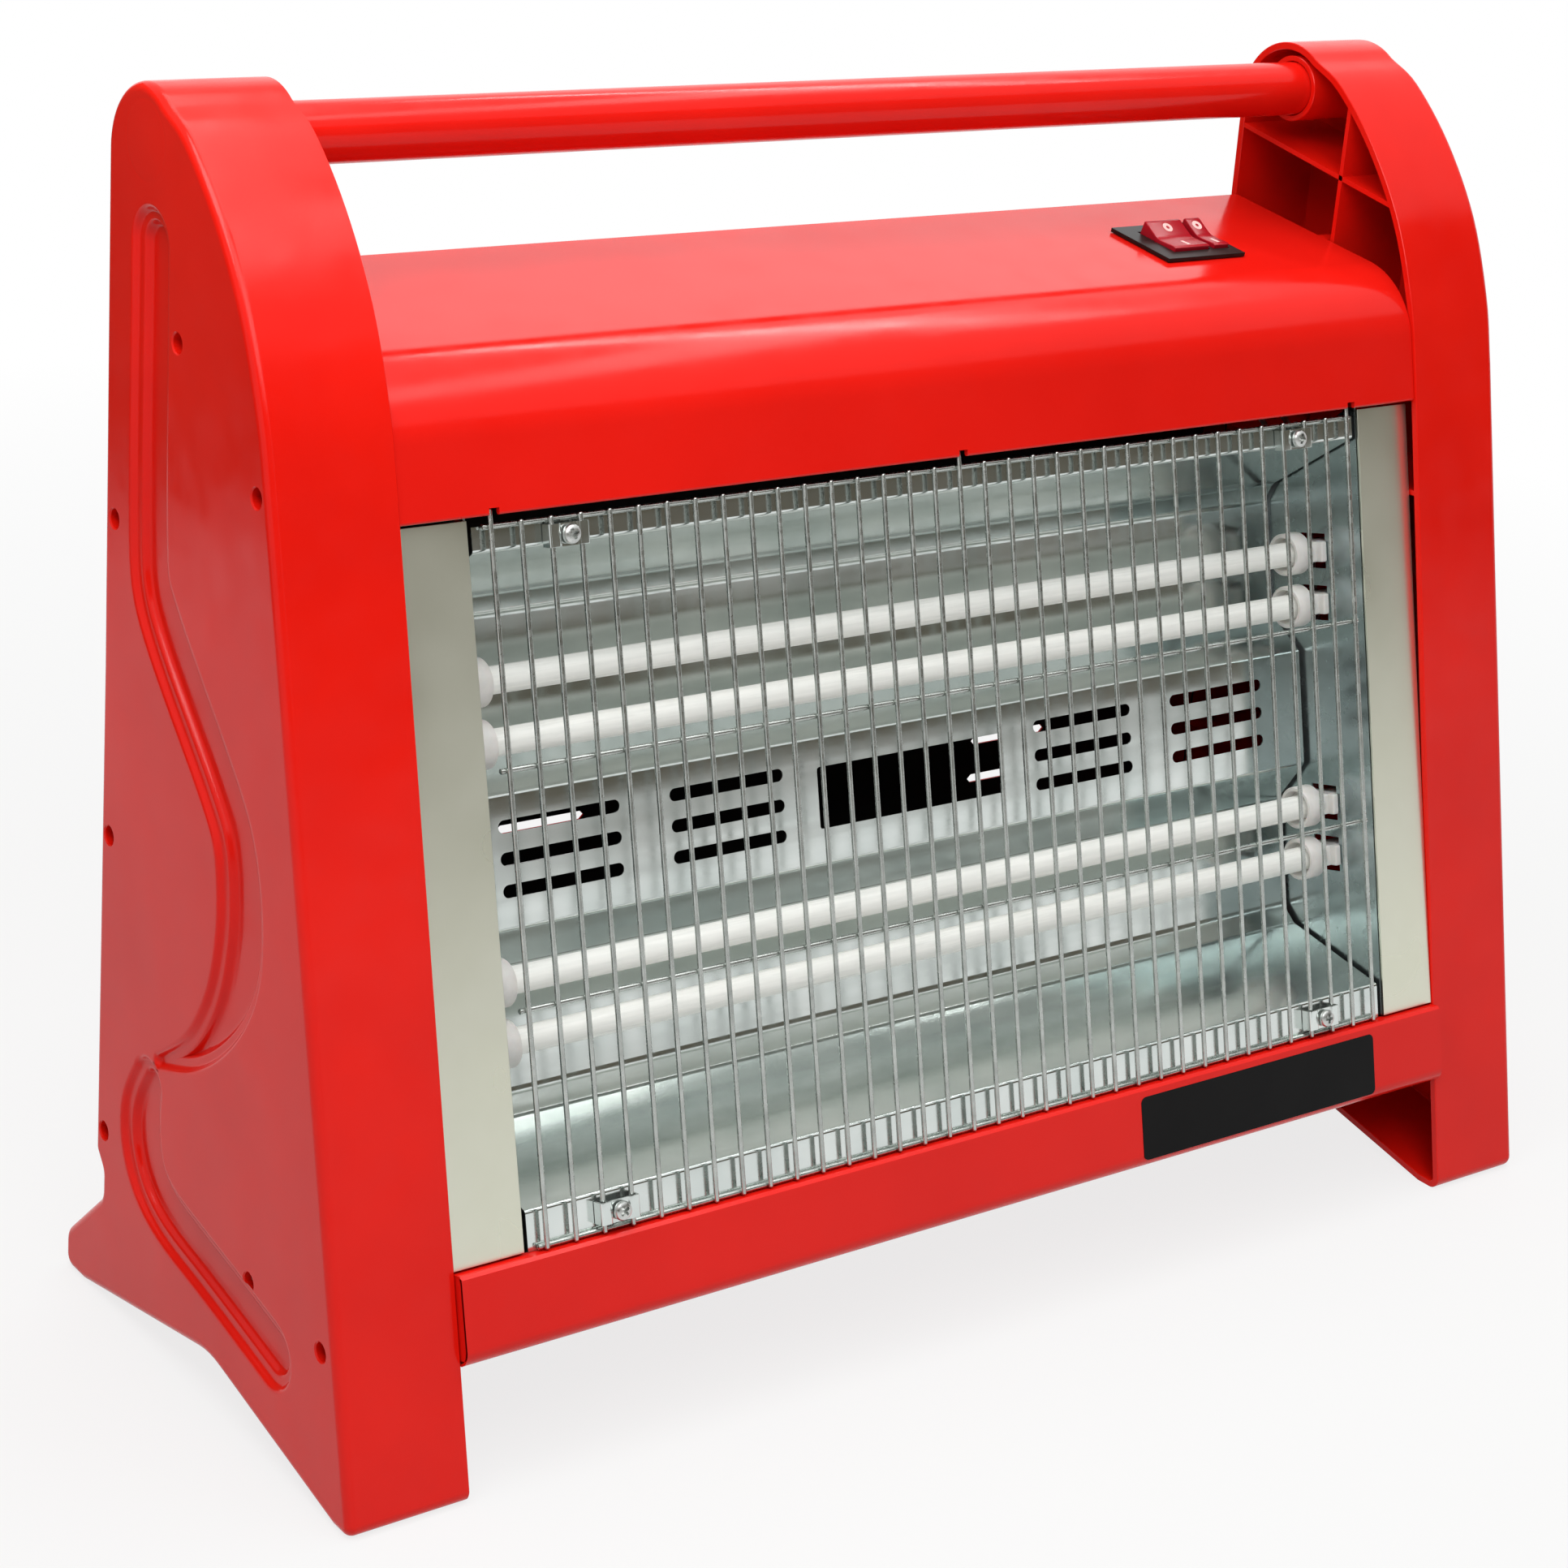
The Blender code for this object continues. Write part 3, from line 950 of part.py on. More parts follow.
def switch(black, red, root, cover):
    """A black housing through the cover, with one wide and one narrow rocker."""
    frame = empty("switch_frame", (SWITCH_X, SWITCH_Y, cover_surface(SWITCH_Y)),
                  math.atan(COVER_SLOPE), root)
    half_x, half_y = BODY_LENGTH / 2, BODY_WIDTH / 2
    cut = box(-half_x - FIT, half_x + FIT, -half_y - FIT, half_y + FIT, -6 * MM, 6 * MM)
    boolean(cover, cutter("switch_cutout", cut, frame))
    housing = solid("switch_housing", box(-BEZEL_LENGTH / 2, BEZEL_LENGTH / 2, -BEZEL_WIDTH / 2,
                                          BEZEL_WIDTH / 2, FIT, BEZEL_HEIGHT), black, frame)
    body = box(-half_x, half_x, -half_y, half_y, -BODY_DEPTH, BEZEL_HEIGHT - 0.5 * MM)
    boolean(housing, cutter("switch_body", body, frame), "UNION")
    pivot_z = BEZEL_HEIGHT + ROCKER_PIVOT
    wells = []
    for x, width in zip(ROCKER_MIDDLES, ROCKER_WIDTHS):
        wells.append(box(x - width / 2 - FIT, x + width / 2 + FIT, -ROCKER_HALF_LENGTH - ROCKER_END_GAP,
                         ROCKER_HALF_LENGTH + ROCKER_END_GAP, BODY_FLOOR - BODY_DEPTH,
                         BEZEL_HEIGHT + MM))
    boolean(housing, cutter("switch_wells", merge(*wells), frame))
    pin_end = PIN_LENGTH + FIT
    pin_bore = turned([(ROCKER_MIDDLES[0] - ROCKER_WIDTHS[0] / 2 - pin_end, PIN_RADIUS + FIT),
                       (ROCKER_MIDDLES[1] + ROCKER_WIDTHS[1] / 2 + pin_end, PIN_RADIUS + FIT)], 8, 0,
                      pivot_z)
    boolean(housing, cutter("switch_pin_bore", pin_bore, frame))
    top = -ROCKER_PIVOT
    peak = top + ROCKER_END_HEIGHT
    reach = ROCKER_HALF_LENGTH
    outline = [(-reach, peak), (-reach, -ROCKER_SKIRT), (-reach / 2, -ROCKER_BELLY),
               (reach / 2, -ROCKER_BELLY), (reach, -ROCKER_SKIRT), (reach, peak),
               (reach - ROCKER_LIP, peak), (0, top + ROCKER_MIDDLE_HEIGHT), (ROCKER_LIP - reach, peak)]
    for name, x, width in zip(ROCKER_NAMES, ROCKER_MIDDLES, ROCKER_WIDTHS):
        axis = empty(f"{name}_axis", (x, 0, pivot_z), ROCKER_TILT, frame)
        rocker = solid(name, slab(outline, -width / 2, width / 2), red, axis)
        pin = turned([(-width / 2 - PIN_LENGTH, PIN_RADIUS), (width / 2 + PIN_LENGTH, PIN_RADIUS)], 8)
        boolean(rocker, cutter(f"{name}_pins", pin, axis), "UNION")


def lead(name, points, material, parent):
    """An insulated wire along a smooth curve through its points."""
    path = smooth_path(points, 3)
    curve = bpy.data.curves.new(name, "CURVE")
    curve.dimensions = "3D"
    spline = curve.splines.new("POLY")
    spline.points.add(len(path) - 1)
    for knot, point in zip(spline.points, path):
        knot.co = (*point, 1.0)
    curve.bevel_depth = LEAD_RADIUS
    curve.bevel_resolution = 1
    curve.use_fill_caps = True
    curve.materials.append(material)
    wire = bpy.data.objects.new(name, curve)
    wire.parent = parent
    bpy.context.scene.collection.objects.link(wire)


def leads(material, root):
    """One wire from the switch to each right-hand bus bar, inside the end of the box."""
    slope = math.atan(COVER_SLOPE)
    down = Vector((0, math.sin(slope), -math.cos(slope)))
    bar_x = NECK_END + FIT + BUS_BAR_THICKNESS / 2
    cheek_back = TROUGH_DEPTH + CHEEK_MARGIN
    top = REFLECTOR_MIDDLE + FLANGE_END
    for name, out, shift, pair in (("upper_lead", UPPER_LEAD_OUT, -7 * MM, 0),
                                   ("lower_lead", LOWER_LEAD_OUT, 7 * MM, 2)):
        x = REFLECTOR_HALF_LENGTH + out
        start = Vector((SWITCH_X + shift, SWITCH_Y, cover_surface(SWITCH_Y)))
        start += down * (BODY_DEPTH + 2 * FIT)
        end_s = TUBE_MIDDLE + TUBE_OFFSETS[pair] + BUS_BAR_MARGIN + 2 * FIT
        bend = [(start.x + 12 * MM, cheek_back + 2 * MM, top + 22 * MM),
                (x - 12 * MM, cheek_back + 3 * MM, top + 2 * MM),
                (x, cheek_back - 4 * MM, top - 22 * MM)]
        if pair:
            bend += [(x, cheek_back - 8 * MM, (top + end_s) / 2),
                     (x, cheek_back - 12 * MM, end_s + 30 * MM)]
        bend += [(bar_x + (x - bar_x) / 3, TUBE_DEPTH + 4 * MM, end_s + 14 * MM),
                 (bar_x, TUBE_DEPTH, end_s + 5 * MM), (bar_x, TUBE_DEPTH, end_s)]
        points = [tuple(start), tuple(start + down * 4 * MM), tuple(start + down * 9 * MM)]
        points += [(px, *front_line(n, s)) for px, n, s in bend]
        lead(name, points, material, root)


def heater():
    clear_scene()
    red_plastic = finish("moulded_red_plastic", (0.72, 0.02, 0.012), 0.3)
    red_paint = finish("red_enamel_on_steel", (0.70, 0.02, 0.012), 0.25)
    cream_paint = finish("cream_enamel_on_steel", (0.66, 0.63, 0.50), 0.4)
    zinc = finish("galvanised_sheet", (0.55, 0.60, 0.61), 0.25, 1.0)
    chrome = finish("plated_wire", (0.62, 0.63, 0.62), 0.2, 1.0)
    steel = finish("zinc_screw", (0.58, 0.58, 0.56), 0.35, 1.0)
    quartz = finish("milky_quartz", (0.80, 0.78, 0.72), 0.3)
    resistance = finish("resistance_wire", (0.24, 0.22, 0.20), 0.5, 1.0)
    ceramic = finish("white_ceramic", (0.84, 0.81, 0.76), 0.35)
    brass = finish("brass_strip", (0.75, 0.58, 0.25), 0.3, 1.0)
    black = finish("black_plastic", (0.02, 0.02, 0.02), 0.35)
    red_lens = finish("clear_red_plastic", (0.45, 0.01, 0.02), 0.15, 0.0, 0.85)
    insulation = finish("silicone_sleeve", (0.75, 0.75, 0.72), 0.6)

    depths = [y for y, z in panel_outline()]
    middle = (min(depths) + max(depths)) / 2
    root = empty("heater", (0, -middle, 0))
    frame = empty("front_frame", (0, 0, FRONT_FOOT_Z), -FRONT_LEAN, root)
    holes = screw_holes(root)
    clip_cutter = clip_holes(frame)

    side_panel(-1, "left_side_panel", red_plastic, root, holes)
    side_panel(1, "right_side_panel", red_plastic, root, holes)
    panel_screws(steel, root)
    handle(red_paint, root)
    cover = top_cover(red_paint, root, holes)
    back_y = back_cover(red_paint, root, holes)
    base_pan(red_paint, root, holes)
    bushing(black, root, back_y)
    reflector(zinc, frame, clip_cutter)
    cheeks(zinc, frame)
    strips(cream_paint, frame)
    heating_elements(quartz, resistance, ceramic, frame)
    bus_bars(brass, frame)
    grille(chrome, frame)
    clips(zinc, steel, frame, clip_cutter)
    switch(black, red_lens, root, cover)
    leads(insulation, root)


heater()
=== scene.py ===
import math

import bmesh
import bpy
import numpy as np
from mathutils import Matrix

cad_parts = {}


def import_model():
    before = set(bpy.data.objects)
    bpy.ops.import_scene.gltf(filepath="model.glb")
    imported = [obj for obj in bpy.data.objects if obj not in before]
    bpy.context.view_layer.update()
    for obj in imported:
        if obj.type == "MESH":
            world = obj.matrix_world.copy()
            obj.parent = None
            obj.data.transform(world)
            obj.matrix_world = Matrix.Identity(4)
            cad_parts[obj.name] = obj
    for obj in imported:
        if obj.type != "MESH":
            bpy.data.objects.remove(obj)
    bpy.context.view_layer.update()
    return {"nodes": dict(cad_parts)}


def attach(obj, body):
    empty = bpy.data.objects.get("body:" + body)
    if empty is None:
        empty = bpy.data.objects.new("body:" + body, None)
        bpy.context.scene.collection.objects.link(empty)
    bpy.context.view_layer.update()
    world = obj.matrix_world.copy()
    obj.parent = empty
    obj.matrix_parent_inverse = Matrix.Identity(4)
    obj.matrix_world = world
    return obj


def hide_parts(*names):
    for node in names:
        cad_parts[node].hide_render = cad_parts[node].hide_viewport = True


# Portable quartz heater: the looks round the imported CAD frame. Shapes are in the heater's
# own millimetres, x along it, y from front to back, z up, and turn into metres in the mesh.
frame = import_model()

heaterY = 91.418  # the CAD centres its box, so the heater's own y = 0 lies this far in front
lean = math.radians(14.0)
leanSin, leanCos, leanTan = math.sin(lean), math.cos(lean), math.tan(lean)
footZ = 80.6      # height of the leaning front's own origin
fit = 0.3         # play between two pieces
panelIn, panelOut = 241.0, 288.5
boxEnd = panelIn - fit
sheetMm = 1.0     # thickness of the enamelled sheets
square = ((-1, -1), (1, -1), (1, 1), (-1, 1))

# The handle tube and the seats that hold it, which the panels and their material use too.
handle = {"y": 150.5, "z": 440.2, "radius": 11.0, "wall": 1.4, "seat": 13.6, "seatDepth": 19.0,
          "seatBore": 8.5}


# Coordinates that fit each other, as one array of points.
def asPoints(*coordinates):
    return np.stack(np.broadcast_arrays(*coordinates), -1)


def toMetres(points):
    return (np.asarray(points, float) - (0, heaterY, 0)) / 1000


# (x, n, s) in the leaning front, n behind the wires and s up the slope, to metres:
# y = s sin + n cos, z = foot + s cos - n sin.
def inFront(points):
    x, n, s = np.moveaxis(np.asarray(points, float), -1, 0)
    return toMetres(asPoints(x, s * leanSin + n * leanCos, footZ + s * leanCos - n * leanSin))


# Points turned about the x axis: y cos - z sin, and y sin + z cos.
def tipped(points, angle):
    x, y, z = np.moveaxis(np.asarray(points, float), -1, 0)
    cos, sin = math.cos(angle), math.sin(angle)
    return asPoints(x, y * cos - z * sin, y * sin + z * cos)


# A circle: radius times cosine and sine of even angles.
def circle(radius, sides):
    angle = np.arange(sides) * 2 * math.pi / sides
    return asPoints(radius * np.cos(angle), radius * np.sin(angle))


# A grid of points (along, round, 3) as a surface: each quad joins a point to the next
# one round and the next one along. Open ends get one flat face each.
def gridSurface(grid, wrapAlong=False, caps=True):
    along, around = grid.shape[:2]
    index = np.arange(along * around).reshape(along, around)
    ends = [index[0, ::-1].tolist(), index[-1].tolist()] if caps and not wrapAlong else []
    index = np.hstack([index, index[:, :1]])
    index = np.vstack([index, index[:1]]) if wrapAlong else index
    quads = np.stack([index[:-1, :-1], index[:-1, 1:], index[1:, 1:], index[1:, :-1]], -1)
    return grid.reshape(-1, 3), quads.reshape(-1, 4), ends


# Rings of (level, outline) as a surface: the level becomes the coordinate with that number.
def stacked(rings, number):
    return gridSurface(np.stack([np.insert(np.asarray(outline, float), number, level, axis=1)
                                 for level, outline in rings]))


# An outline of (y, z) points carried straight along x.
def alongX(outline, stations):
    return stacked([(x, outline) for x in stations], 0)


# A block between two corners.
def block(x0, x1, y0, y1, z0, z1):
    return alongX([(y0, z0), (y1, z0), (y1, z1), (y0, z1)], (x0, x1))


# A profile of (x, radius) turned about a line along x through (y, z).
def turnedX(profile, sides, y, z, closed=False):
    x, r = np.asarray(profile, float).T[:, :, None]
    unit = circle(1.0, sides)
    return gridSurface(asPoints(x, y + r * unit[:, 0], z + r * unit[:, 1]), wrapAlong=closed)


# Catmull-Rom: half of 2 p1 + (p2 - p0) t + (2 p0 - 5 p1 + 4 p2 - p3) t squared
# + (3 p1 - p0 - 3 p2 + p3) t cubed.
def spline(knots, steps):
    k = np.asarray(knots, float)
    k = np.vstack([2 * k[0] - k[1], k, 2 * k[-1] - k[-2]])
    t = np.linspace(0, 1, steps, endpoint=False)[None, :, None]
    p0, p1, p2, p3 = (k[i:len(k) - 3 + i][:, None] for i in range(4))
    curve = 0.5 * (2 * p1 + (p2 - p0) * t + (2 * p0 - 5 * p1 + 4 * p2 - p3) * t ** 2
                   + (3 * p1 - p0 - 3 * p2 + p3) * t ** 3)
    return np.vstack([curve.reshape(-1, k.shape[1]), k[-2:-1]])


# The spline at even steps of its length, then averaged with its neighbours a few times, so
# that a wide band along it doesn't fold over in a bend.
def evenPath(knots, stepMm, passes):
    curve = spline(knots, 12)
    lengths = np.linalg.norm(np.diff(curve[:, :2], axis=0), axis=1)
    run = np.concatenate([[0], np.cumsum(lengths)])
    even = np.linspace(0, run[-1], round(run[-1] / stepMm) + 1)
    path = np.stack([np.interp(even, run, column) for column in curve.T], 1)
    for _ in range(passes):
        path[1:-1] = path[:-2] / 4 + path[1:-1] / 2 + path[2:] / 4
    return path


# Each (a, b, radius) corner becomes an arc that touches both of its sides. The arc's centre
# lies on their bisector at radius / sin(half the corner's angle).
def roundCorners(corners, closed=True, stepDegrees=7.0):
    line = []
    count = len(corners)
    for i, (a, b, radius) in enumerate(corners):
        here = np.array((a, b), float)
        if radius == 0 or (not closed and i in (0, count - 1)):
            line.append(here[None])
            continue
        back = np.array(corners[i - 1][:2], float) - here
        ahead = np.array(corners[(i + 1) % count][:2], float) - here
        back, ahead = back / np.linalg.norm(back), ahead / np.linalg.norm(ahead)
        half = math.acos(np.clip(back @ ahead, -1, 1)) / 2
        bisector = (back + ahead) / np.linalg.norm(back + ahead)
        centre = here + bisector * radius / math.sin(half)
        arm = here + back * radius / math.tan(half) - centre
        sweep = math.pi - 2 * half
        turn = math.copysign(1, back[0] * ahead[1] - back[1] * ahead[0])
        steps = max(2, math.ceil(math.degrees(sweep) / stepDegrees))
        angle = -turn * np.linspace(0, sweep, steps + 1)
        cos, sin = np.cos(angle), np.sin(angle)
        line.append(centre + asPoints(cos * arm[0] - sin * arm[1], sin * arm[0] + cos * arm[1]))
    return np.vstack(line)


# Each point moves to the left along the mean of its two sides' normals, by the distance
# over the cosine of half the turn, so that straight sides stay parallel.
def offsetLine(line, distance, closed=True):
    line = np.asarray(line, float)
    step = np.roll(line, -1, 0) - line
    if not closed:
        step[-1] = step[-2]
    step /= np.linalg.norm(step, axis=1, keepdims=True)
    left = np.stack([-step[:, 1], step[:, 0]], 1)
    before = np.roll(left, 1, 0)
    if not closed:
        before[0] = left[0]
    middle = left + before
    middle /= np.linalg.norm(middle, axis=1, keepdims=True)
    return line + middle * (distance / (middle * left).sum(1))[:, None]


# A bent sheet's outline: the line, and back along it one thickness to the left.
def sheetOutline(line, thickness):
    return np.vstack([line, offsetLine(line, thickness, closed=False)[::-1]])


def linked(name, data):
    thing = bpy.data.objects.new(name, data)
    bpy.context.scene.collection.objects.link(thing)
    return thing


# An object from surfaces, its doubles merged and its faces turned outwards.
def newObject(name, parts, moved=toMetres):
    points, faces, start = [], [], 0
    for verts, quads, ends in parts:
        points.append(verts)
        faces += (quads + start).tolist() + [[i + start for i in end] for end in ends]
        start += len(verts)
    mesh = bpy.data.meshes.new(name)
    mesh.from_pydata(moved(np.vstack(points)).tolist(), [], faces)
    shape = bmesh.new()
    shape.from_mesh(mesh)
    bmesh.ops.remove_doubles(shape, verts=shape.verts, dist=2e-6)
    bmesh.ops.recalc_face_normals(shape, faces=shape.faces)
    shape.to_mesh(mesh)
    shape.free()
    return linked(name, mesh)


# The mirror image across x = 0, its faces turned outwards again.
def mirrored(thing):
    thing.data.transform(Matrix.Diagonal((-1, 1, 1, 1)))
    thing.data.flip_normals()
    return thing


def addModifier(thing, kind, **settings):
    modifier = thing.modifiers.new(kind.lower(), kind)
    for key, value in settings.items():
        setattr(modifier, key, value)


def applyModifiers(thing):
    evaluated = thing.evaluated_get(bpy.context.evaluated_depsgraph_get())
    mesh = bpy.data.meshes.new_from_object(evaluated)
    thing.modifiers.clear()
    thing.data = mesh
    return thing


def roundEdged(thing, widthMm):
    addModifier(thing, "BEVEL", width=widthMm / 1000, segments=3, limit_method="ANGLE",
                angle_limit=math.radians(50))
    return applyModifiers(thing)


# Cuts closed shapes out of a piece, one Boolean for each, and removes the cutters.
def cutOut(thing, cutters, moved=toMetres):
    for parts in cutters:
        helper = newObject("cutter", parts, moved)
        addModifier(thing, "BOOLEAN", object=helper, operation="DIFFERENCE", solver="EXACT")
        applyModifiers(thing)
        bpy.data.objects.remove(helper)
    return thing


def joined(name, things):
    shape = bmesh.new()
    for thing in things:
        shape.from_mesh(thing.data)
        bpy.data.objects.remove(thing)
    mesh = bpy.data.meshes.new(name)
    shape.to_mesh(mesh)
    shape.free()
    return linked(name, mesh)


# Smooth shading with sharp edges kept and, where weighted, large faces keeping their own
# direction. The piece rides on its body and stands for its CAD node, if it has one.
def finishPiece(thing, finish, node=None, body="heater", angle=32, weighted=False):
    thing.data.materials.clear()
    thing.data.materials.append(finishes[finish])
    thing.data.shade_smooth()
    thing.data.set_sharp_from_angle(angle=math.radians(angle))
    if weighted:
        addModifier(thing, "WEIGHTED_NORMAL", keep_sharp=True, weight=80)
    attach(thing, body)
    if node:
        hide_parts(node)
    return thing


# A merged copy of a CAD node with its edges rounded, which stands for the node.
def softened(node, finish, widthMm):
    thing = frame["nodes"][node].copy()
    thing.data = frame["nodes"][node].data.copy()
    thing.name = node + "_finished"
    thing.parent = None
    for key in list(thing.keys()):
        del thing[key]
    bpy.context.scene.collection.objects.link(thing)
    shape = bmesh.new()
    shape.from_mesh(thing.data)
    bmesh.ops.remove_doubles(shape, verts=shape.verts, dist=5e-6)
    bmesh.ops.dissolve_limit(shape, angle_limit=math.radians(1.0), verts=shape.verts,
                             edges=shape.edges)
    shape.to_mesh(thing.data)
    shape.free()
    if thing.data.has_custom_normals:
        thing.data.normals_split_custom_set([(0, 0, 0)] * len(thing.data.loops))
    addModifier(thing, "BEVEL", width=widthMm / 1000, segments=2, limit_method="ANGLE",
                angle_limit=math.radians(40), use_clamp_overlap=True, harden_normals=False)
    return finishPiece(thing, finish, node, angle=40, weighted=True)


# The faces whose normal (nx, ny, nz) and middle (x, y, z) in metres pass the test get a
# second finish.
def facedWith(thing, finish, test):
    mesh = thing.data
    normal, middle = np.empty(len(mesh.polygons) * 3), np.empty(len(mesh.polygons) * 3)
    mesh.polygons.foreach_get("normal", normal)
    mesh.polygons.foreach_get("center", middle)
    mesh.materials.append(finishes[finish])
    chosen = test(*normal.reshape(-1, 3).T, *middle.reshape(-1, 3).T)
    mesh.polygons.foreach_set("material_index", chosen.astype(np.int32))


def hexColour(code):
    srgb = np.array([int(code[i:i + 2], 16) for i in (1, 3, 5)]) / 255
    linear = np.where(srgb <= 0.04045, srgb / 12.92, ((srgb + 0.055) / 1.055) ** 2.4)
    return (*linear.tolist(), 1.0)


# Adds a node: settings are its own, and sockets take a value or another node's output.
def addNode(tree, kind, sockets=None, **settings):
    node = tree.nodes.new(kind)
    for key, value in settings.items():
        setattr(node, key, value)
    for key, value in (sockets or {}).items():
        if isinstance(value, bpy.types.NodeSocket):
            tree.links.new(value, node.inputs[key])
        else:
            node.inputs[key].default_value = value
    return node


def newMaterial(name, **sockets):
    material = bpy.data.materials.new(name)
    material.use_nodes = True
    shader = material.node_tree.nodes["Principled BSDF"]
    for key, value in sockets.items():
        shader.inputs[key.replace("_", " ")].default_value = value
    return material


# Noise on object coordinates, its features sized in millimetres, spread between two values.
def noiseBetween(tree, sizeMm, low, high, detail=3.0, stretch=(1, 1, 1)):
    place = addNode(tree, "ShaderNodeTexCoord").outputs["Object"]
    scaled = addNode(tree, "ShaderNodeMapping", {"Vector": place, "Scale": stretch})
    noise = addNode(tree, "ShaderNodeTexNoise", {"Vector": scaled.outputs[0],
                                                 "Scale": 1000 / sizeMm, "Detail": detail})
    spread = addNode(tree, "ShaderNodeMapRange", {"Value": noise.outputs["Fac"], "From Min": 0.3,
                                                  "From Max": 0.7, "To Min": low, "To Max": high})
    return spread.outputs["Result"]


# Two colours in clouds of that size.
def clouded(material, sizeMm, first, second, **pattern):
    tree = material.node_tree
    mix = addNode(tree, "ShaderNodeMix", {"Factor": noiseBetween(tree, sizeMm, 0, 1, **pattern),
                                          6: hexColour(first), 7: hexColour(second)},
                  data_type="RGBA")
    tree.links.new(mix.outputs[2], tree.nodes["Principled BSDF"].inputs["Base Color"])


# Roughness between two values, in patches of that size.
def patchy(material, sizeMm, low, high, **pattern):
    tree = material.node_tree
    tree.links.new(noiseBetween(tree, sizeMm, low, high, **pattern),
                   tree.nodes["Principled BSDF"].inputs["Roughness"])


# Bumps over those already there, in noise of that size or in a pattern of their own.
def bumpy(material, heightMm, sizeMm=1.0, own=None, **pattern):
    tree = material.node_tree
    normal = tree.nodes["Principled BSDF"].inputs["Normal"]
    sockets = {"Height": noiseBetween(tree, sizeMm, 0, 1, **pattern) if own is None else own,
               "Distance": heightMm / 1000, "Strength": 1.0}
    if normal.links:
        sockets["Normal"] = normal.links[0].from_socket
    tree.links.new(addNode(tree, "ShaderNodeBump", sockets).outputs[0], normal)


# Injection-moulded ABS, glossy: faint sink waves 30 mm long, a skin of 1.2 mm ripples and a
# faint sink ring, 27 mm across, over the handle's seat.
def mouldedRed():
    material = newMaterial("mouldedRedAbs", IOR=1.5, Specular_IOR_Level=0.2)
    clouded(material, 60, "#D6140A", "#E0180C")
    patchy(material, 14, 0.13, 0.24, detail=6)
    tree = material.node_tree
    place = addNode(tree, "ShaderNodeTexCoord").outputs["Object"]
    flat = addNode(tree, "ShaderNodeVectorMath", {0: place, 1: (0, 1, 1)}, operation="MULTIPLY")
    seat = (0, (handle["y"] - heaterY) / 1000, handle["z"] / 1000)
    away = addNode(tree, "ShaderNodeVectorMath", {0: flat.outputs[0], 1: seat},
                   operation="DISTANCE")
    off = addNode(tree, "ShaderNodeMath", {0: away.outputs["Value"], 1: handle["seat"] / 1000},
                  operation="SUBTRACT")
    off = addNode(tree, "ShaderNodeMath", {0: off.outputs[0]}, operation="ABSOLUTE")
    ring = addNode(tree, "ShaderNodeMapRange", {"Value": off.outputs[0], "From Max": 0.0012},
                   interpolation_type="SMOOTHSTEP")
    bumpy(material, 0.05, own=ring.outputs["Result"])
    bumpy(material, 0.12, 30, detail=1)
    bumpy(material, 0.003, 1.2, detail=2)
    return material


# Stoved enamel on steel sheet: wet gloss with a 2.5 mm orange peel.
def redEnamel():
    material = newMaterial("redEnamelOnSteel", IOR=1.5, Specular_IOR_Level=0.2)
    clouded(material, 90, "#D4160E", "#DE1910")
    patchy(material, 20, 0.12, 0.22, detail=5)
    bumpy(material, 0.005, 2.5, detail=1)
    return material


# Thin cream lacquer on zinc-coated sheet: the metal under it mirrors softly, and a fine
# 1.5 mm peel breaks it.
def creamLacquer():
    material = newMaterial("creamLacquerOnZinc", Metallic=0.94)
    clouded(material, 40, "#DADBC9", "#E2E3D3")
    patchy(material, 40, 0.27, 0.33, detail=1)
    bumpy(material, 0.0008, 1.5, detail=1)
    return material


# Galvanised sheet: a soft mirror under a thin dull oxide, with faint rolling streaks 14 mm
# apart along the sheet and clouds 30 mm across.
def galvanised(name, first, second, dull):
    material = newMaterial(name, Metallic=0.95)
    clouded(material, 30, first, second)
    patchy(material, 6, 0.11 + dull, 0.19 + dull, detail=4, stretch=(0.06, 1, 1))
    bumpy(material, 0.02, 14, detail=1, stretch=(0.08, 1, 1))
    return material


# Plated metal without bumps, only clouds and patches of dullness.
def plated(name, cloudMm, first, second, dullMm, low, high):
    material = newMaterial(name, Metallic=1.0)
    clouded(material, cloudMm, first, second)
    patchy(material, dullMm, low, high)
    return material


# Milky fused quartz: white through fine bubbles drawn out along the tube. Its faint emission
# is a painted glow that lightens the tubes.
def milkyQuartz():
    material = newMaterial("milkyQuartz", IOR=1.46, Emission_Strength=0.07,
                           Emission_Color=hexColour("#F4F3EC"))
    clouded(material, 1.5, "#E3E4DF", "#F0F0EB", detail=4, stretch=(0.05, 1, 1))
    patchy(material, 2, 0.22, 0.4, stretch=(0.05, 1, 1))
    return material


# Fired steatite, unglazed: matt with a 0.8 mm grain.
def steatite():
    material = newMaterial("firedSteatite", IOR=1.6, Roughness=0.42, Subsurface_Weight=0.1,
                           Subsurface_Scale=0.002)
    clouded(material, 5, "#D8D5D1", "#E4E1DD")
    bumpy(material, 0.01, 0.8)
    return material


# A plain finish with a little grain: colours, roughness, grain size in mm and its height.
def grained(name, first, second, rough, grainMm, heightMm, **sockets):
    material = newMaterial(name, Roughness=rough, **sockets)
    clouded(material, grainMm * 8, first, second)
    bumpy(material, heightMm, grainMm)
    return material


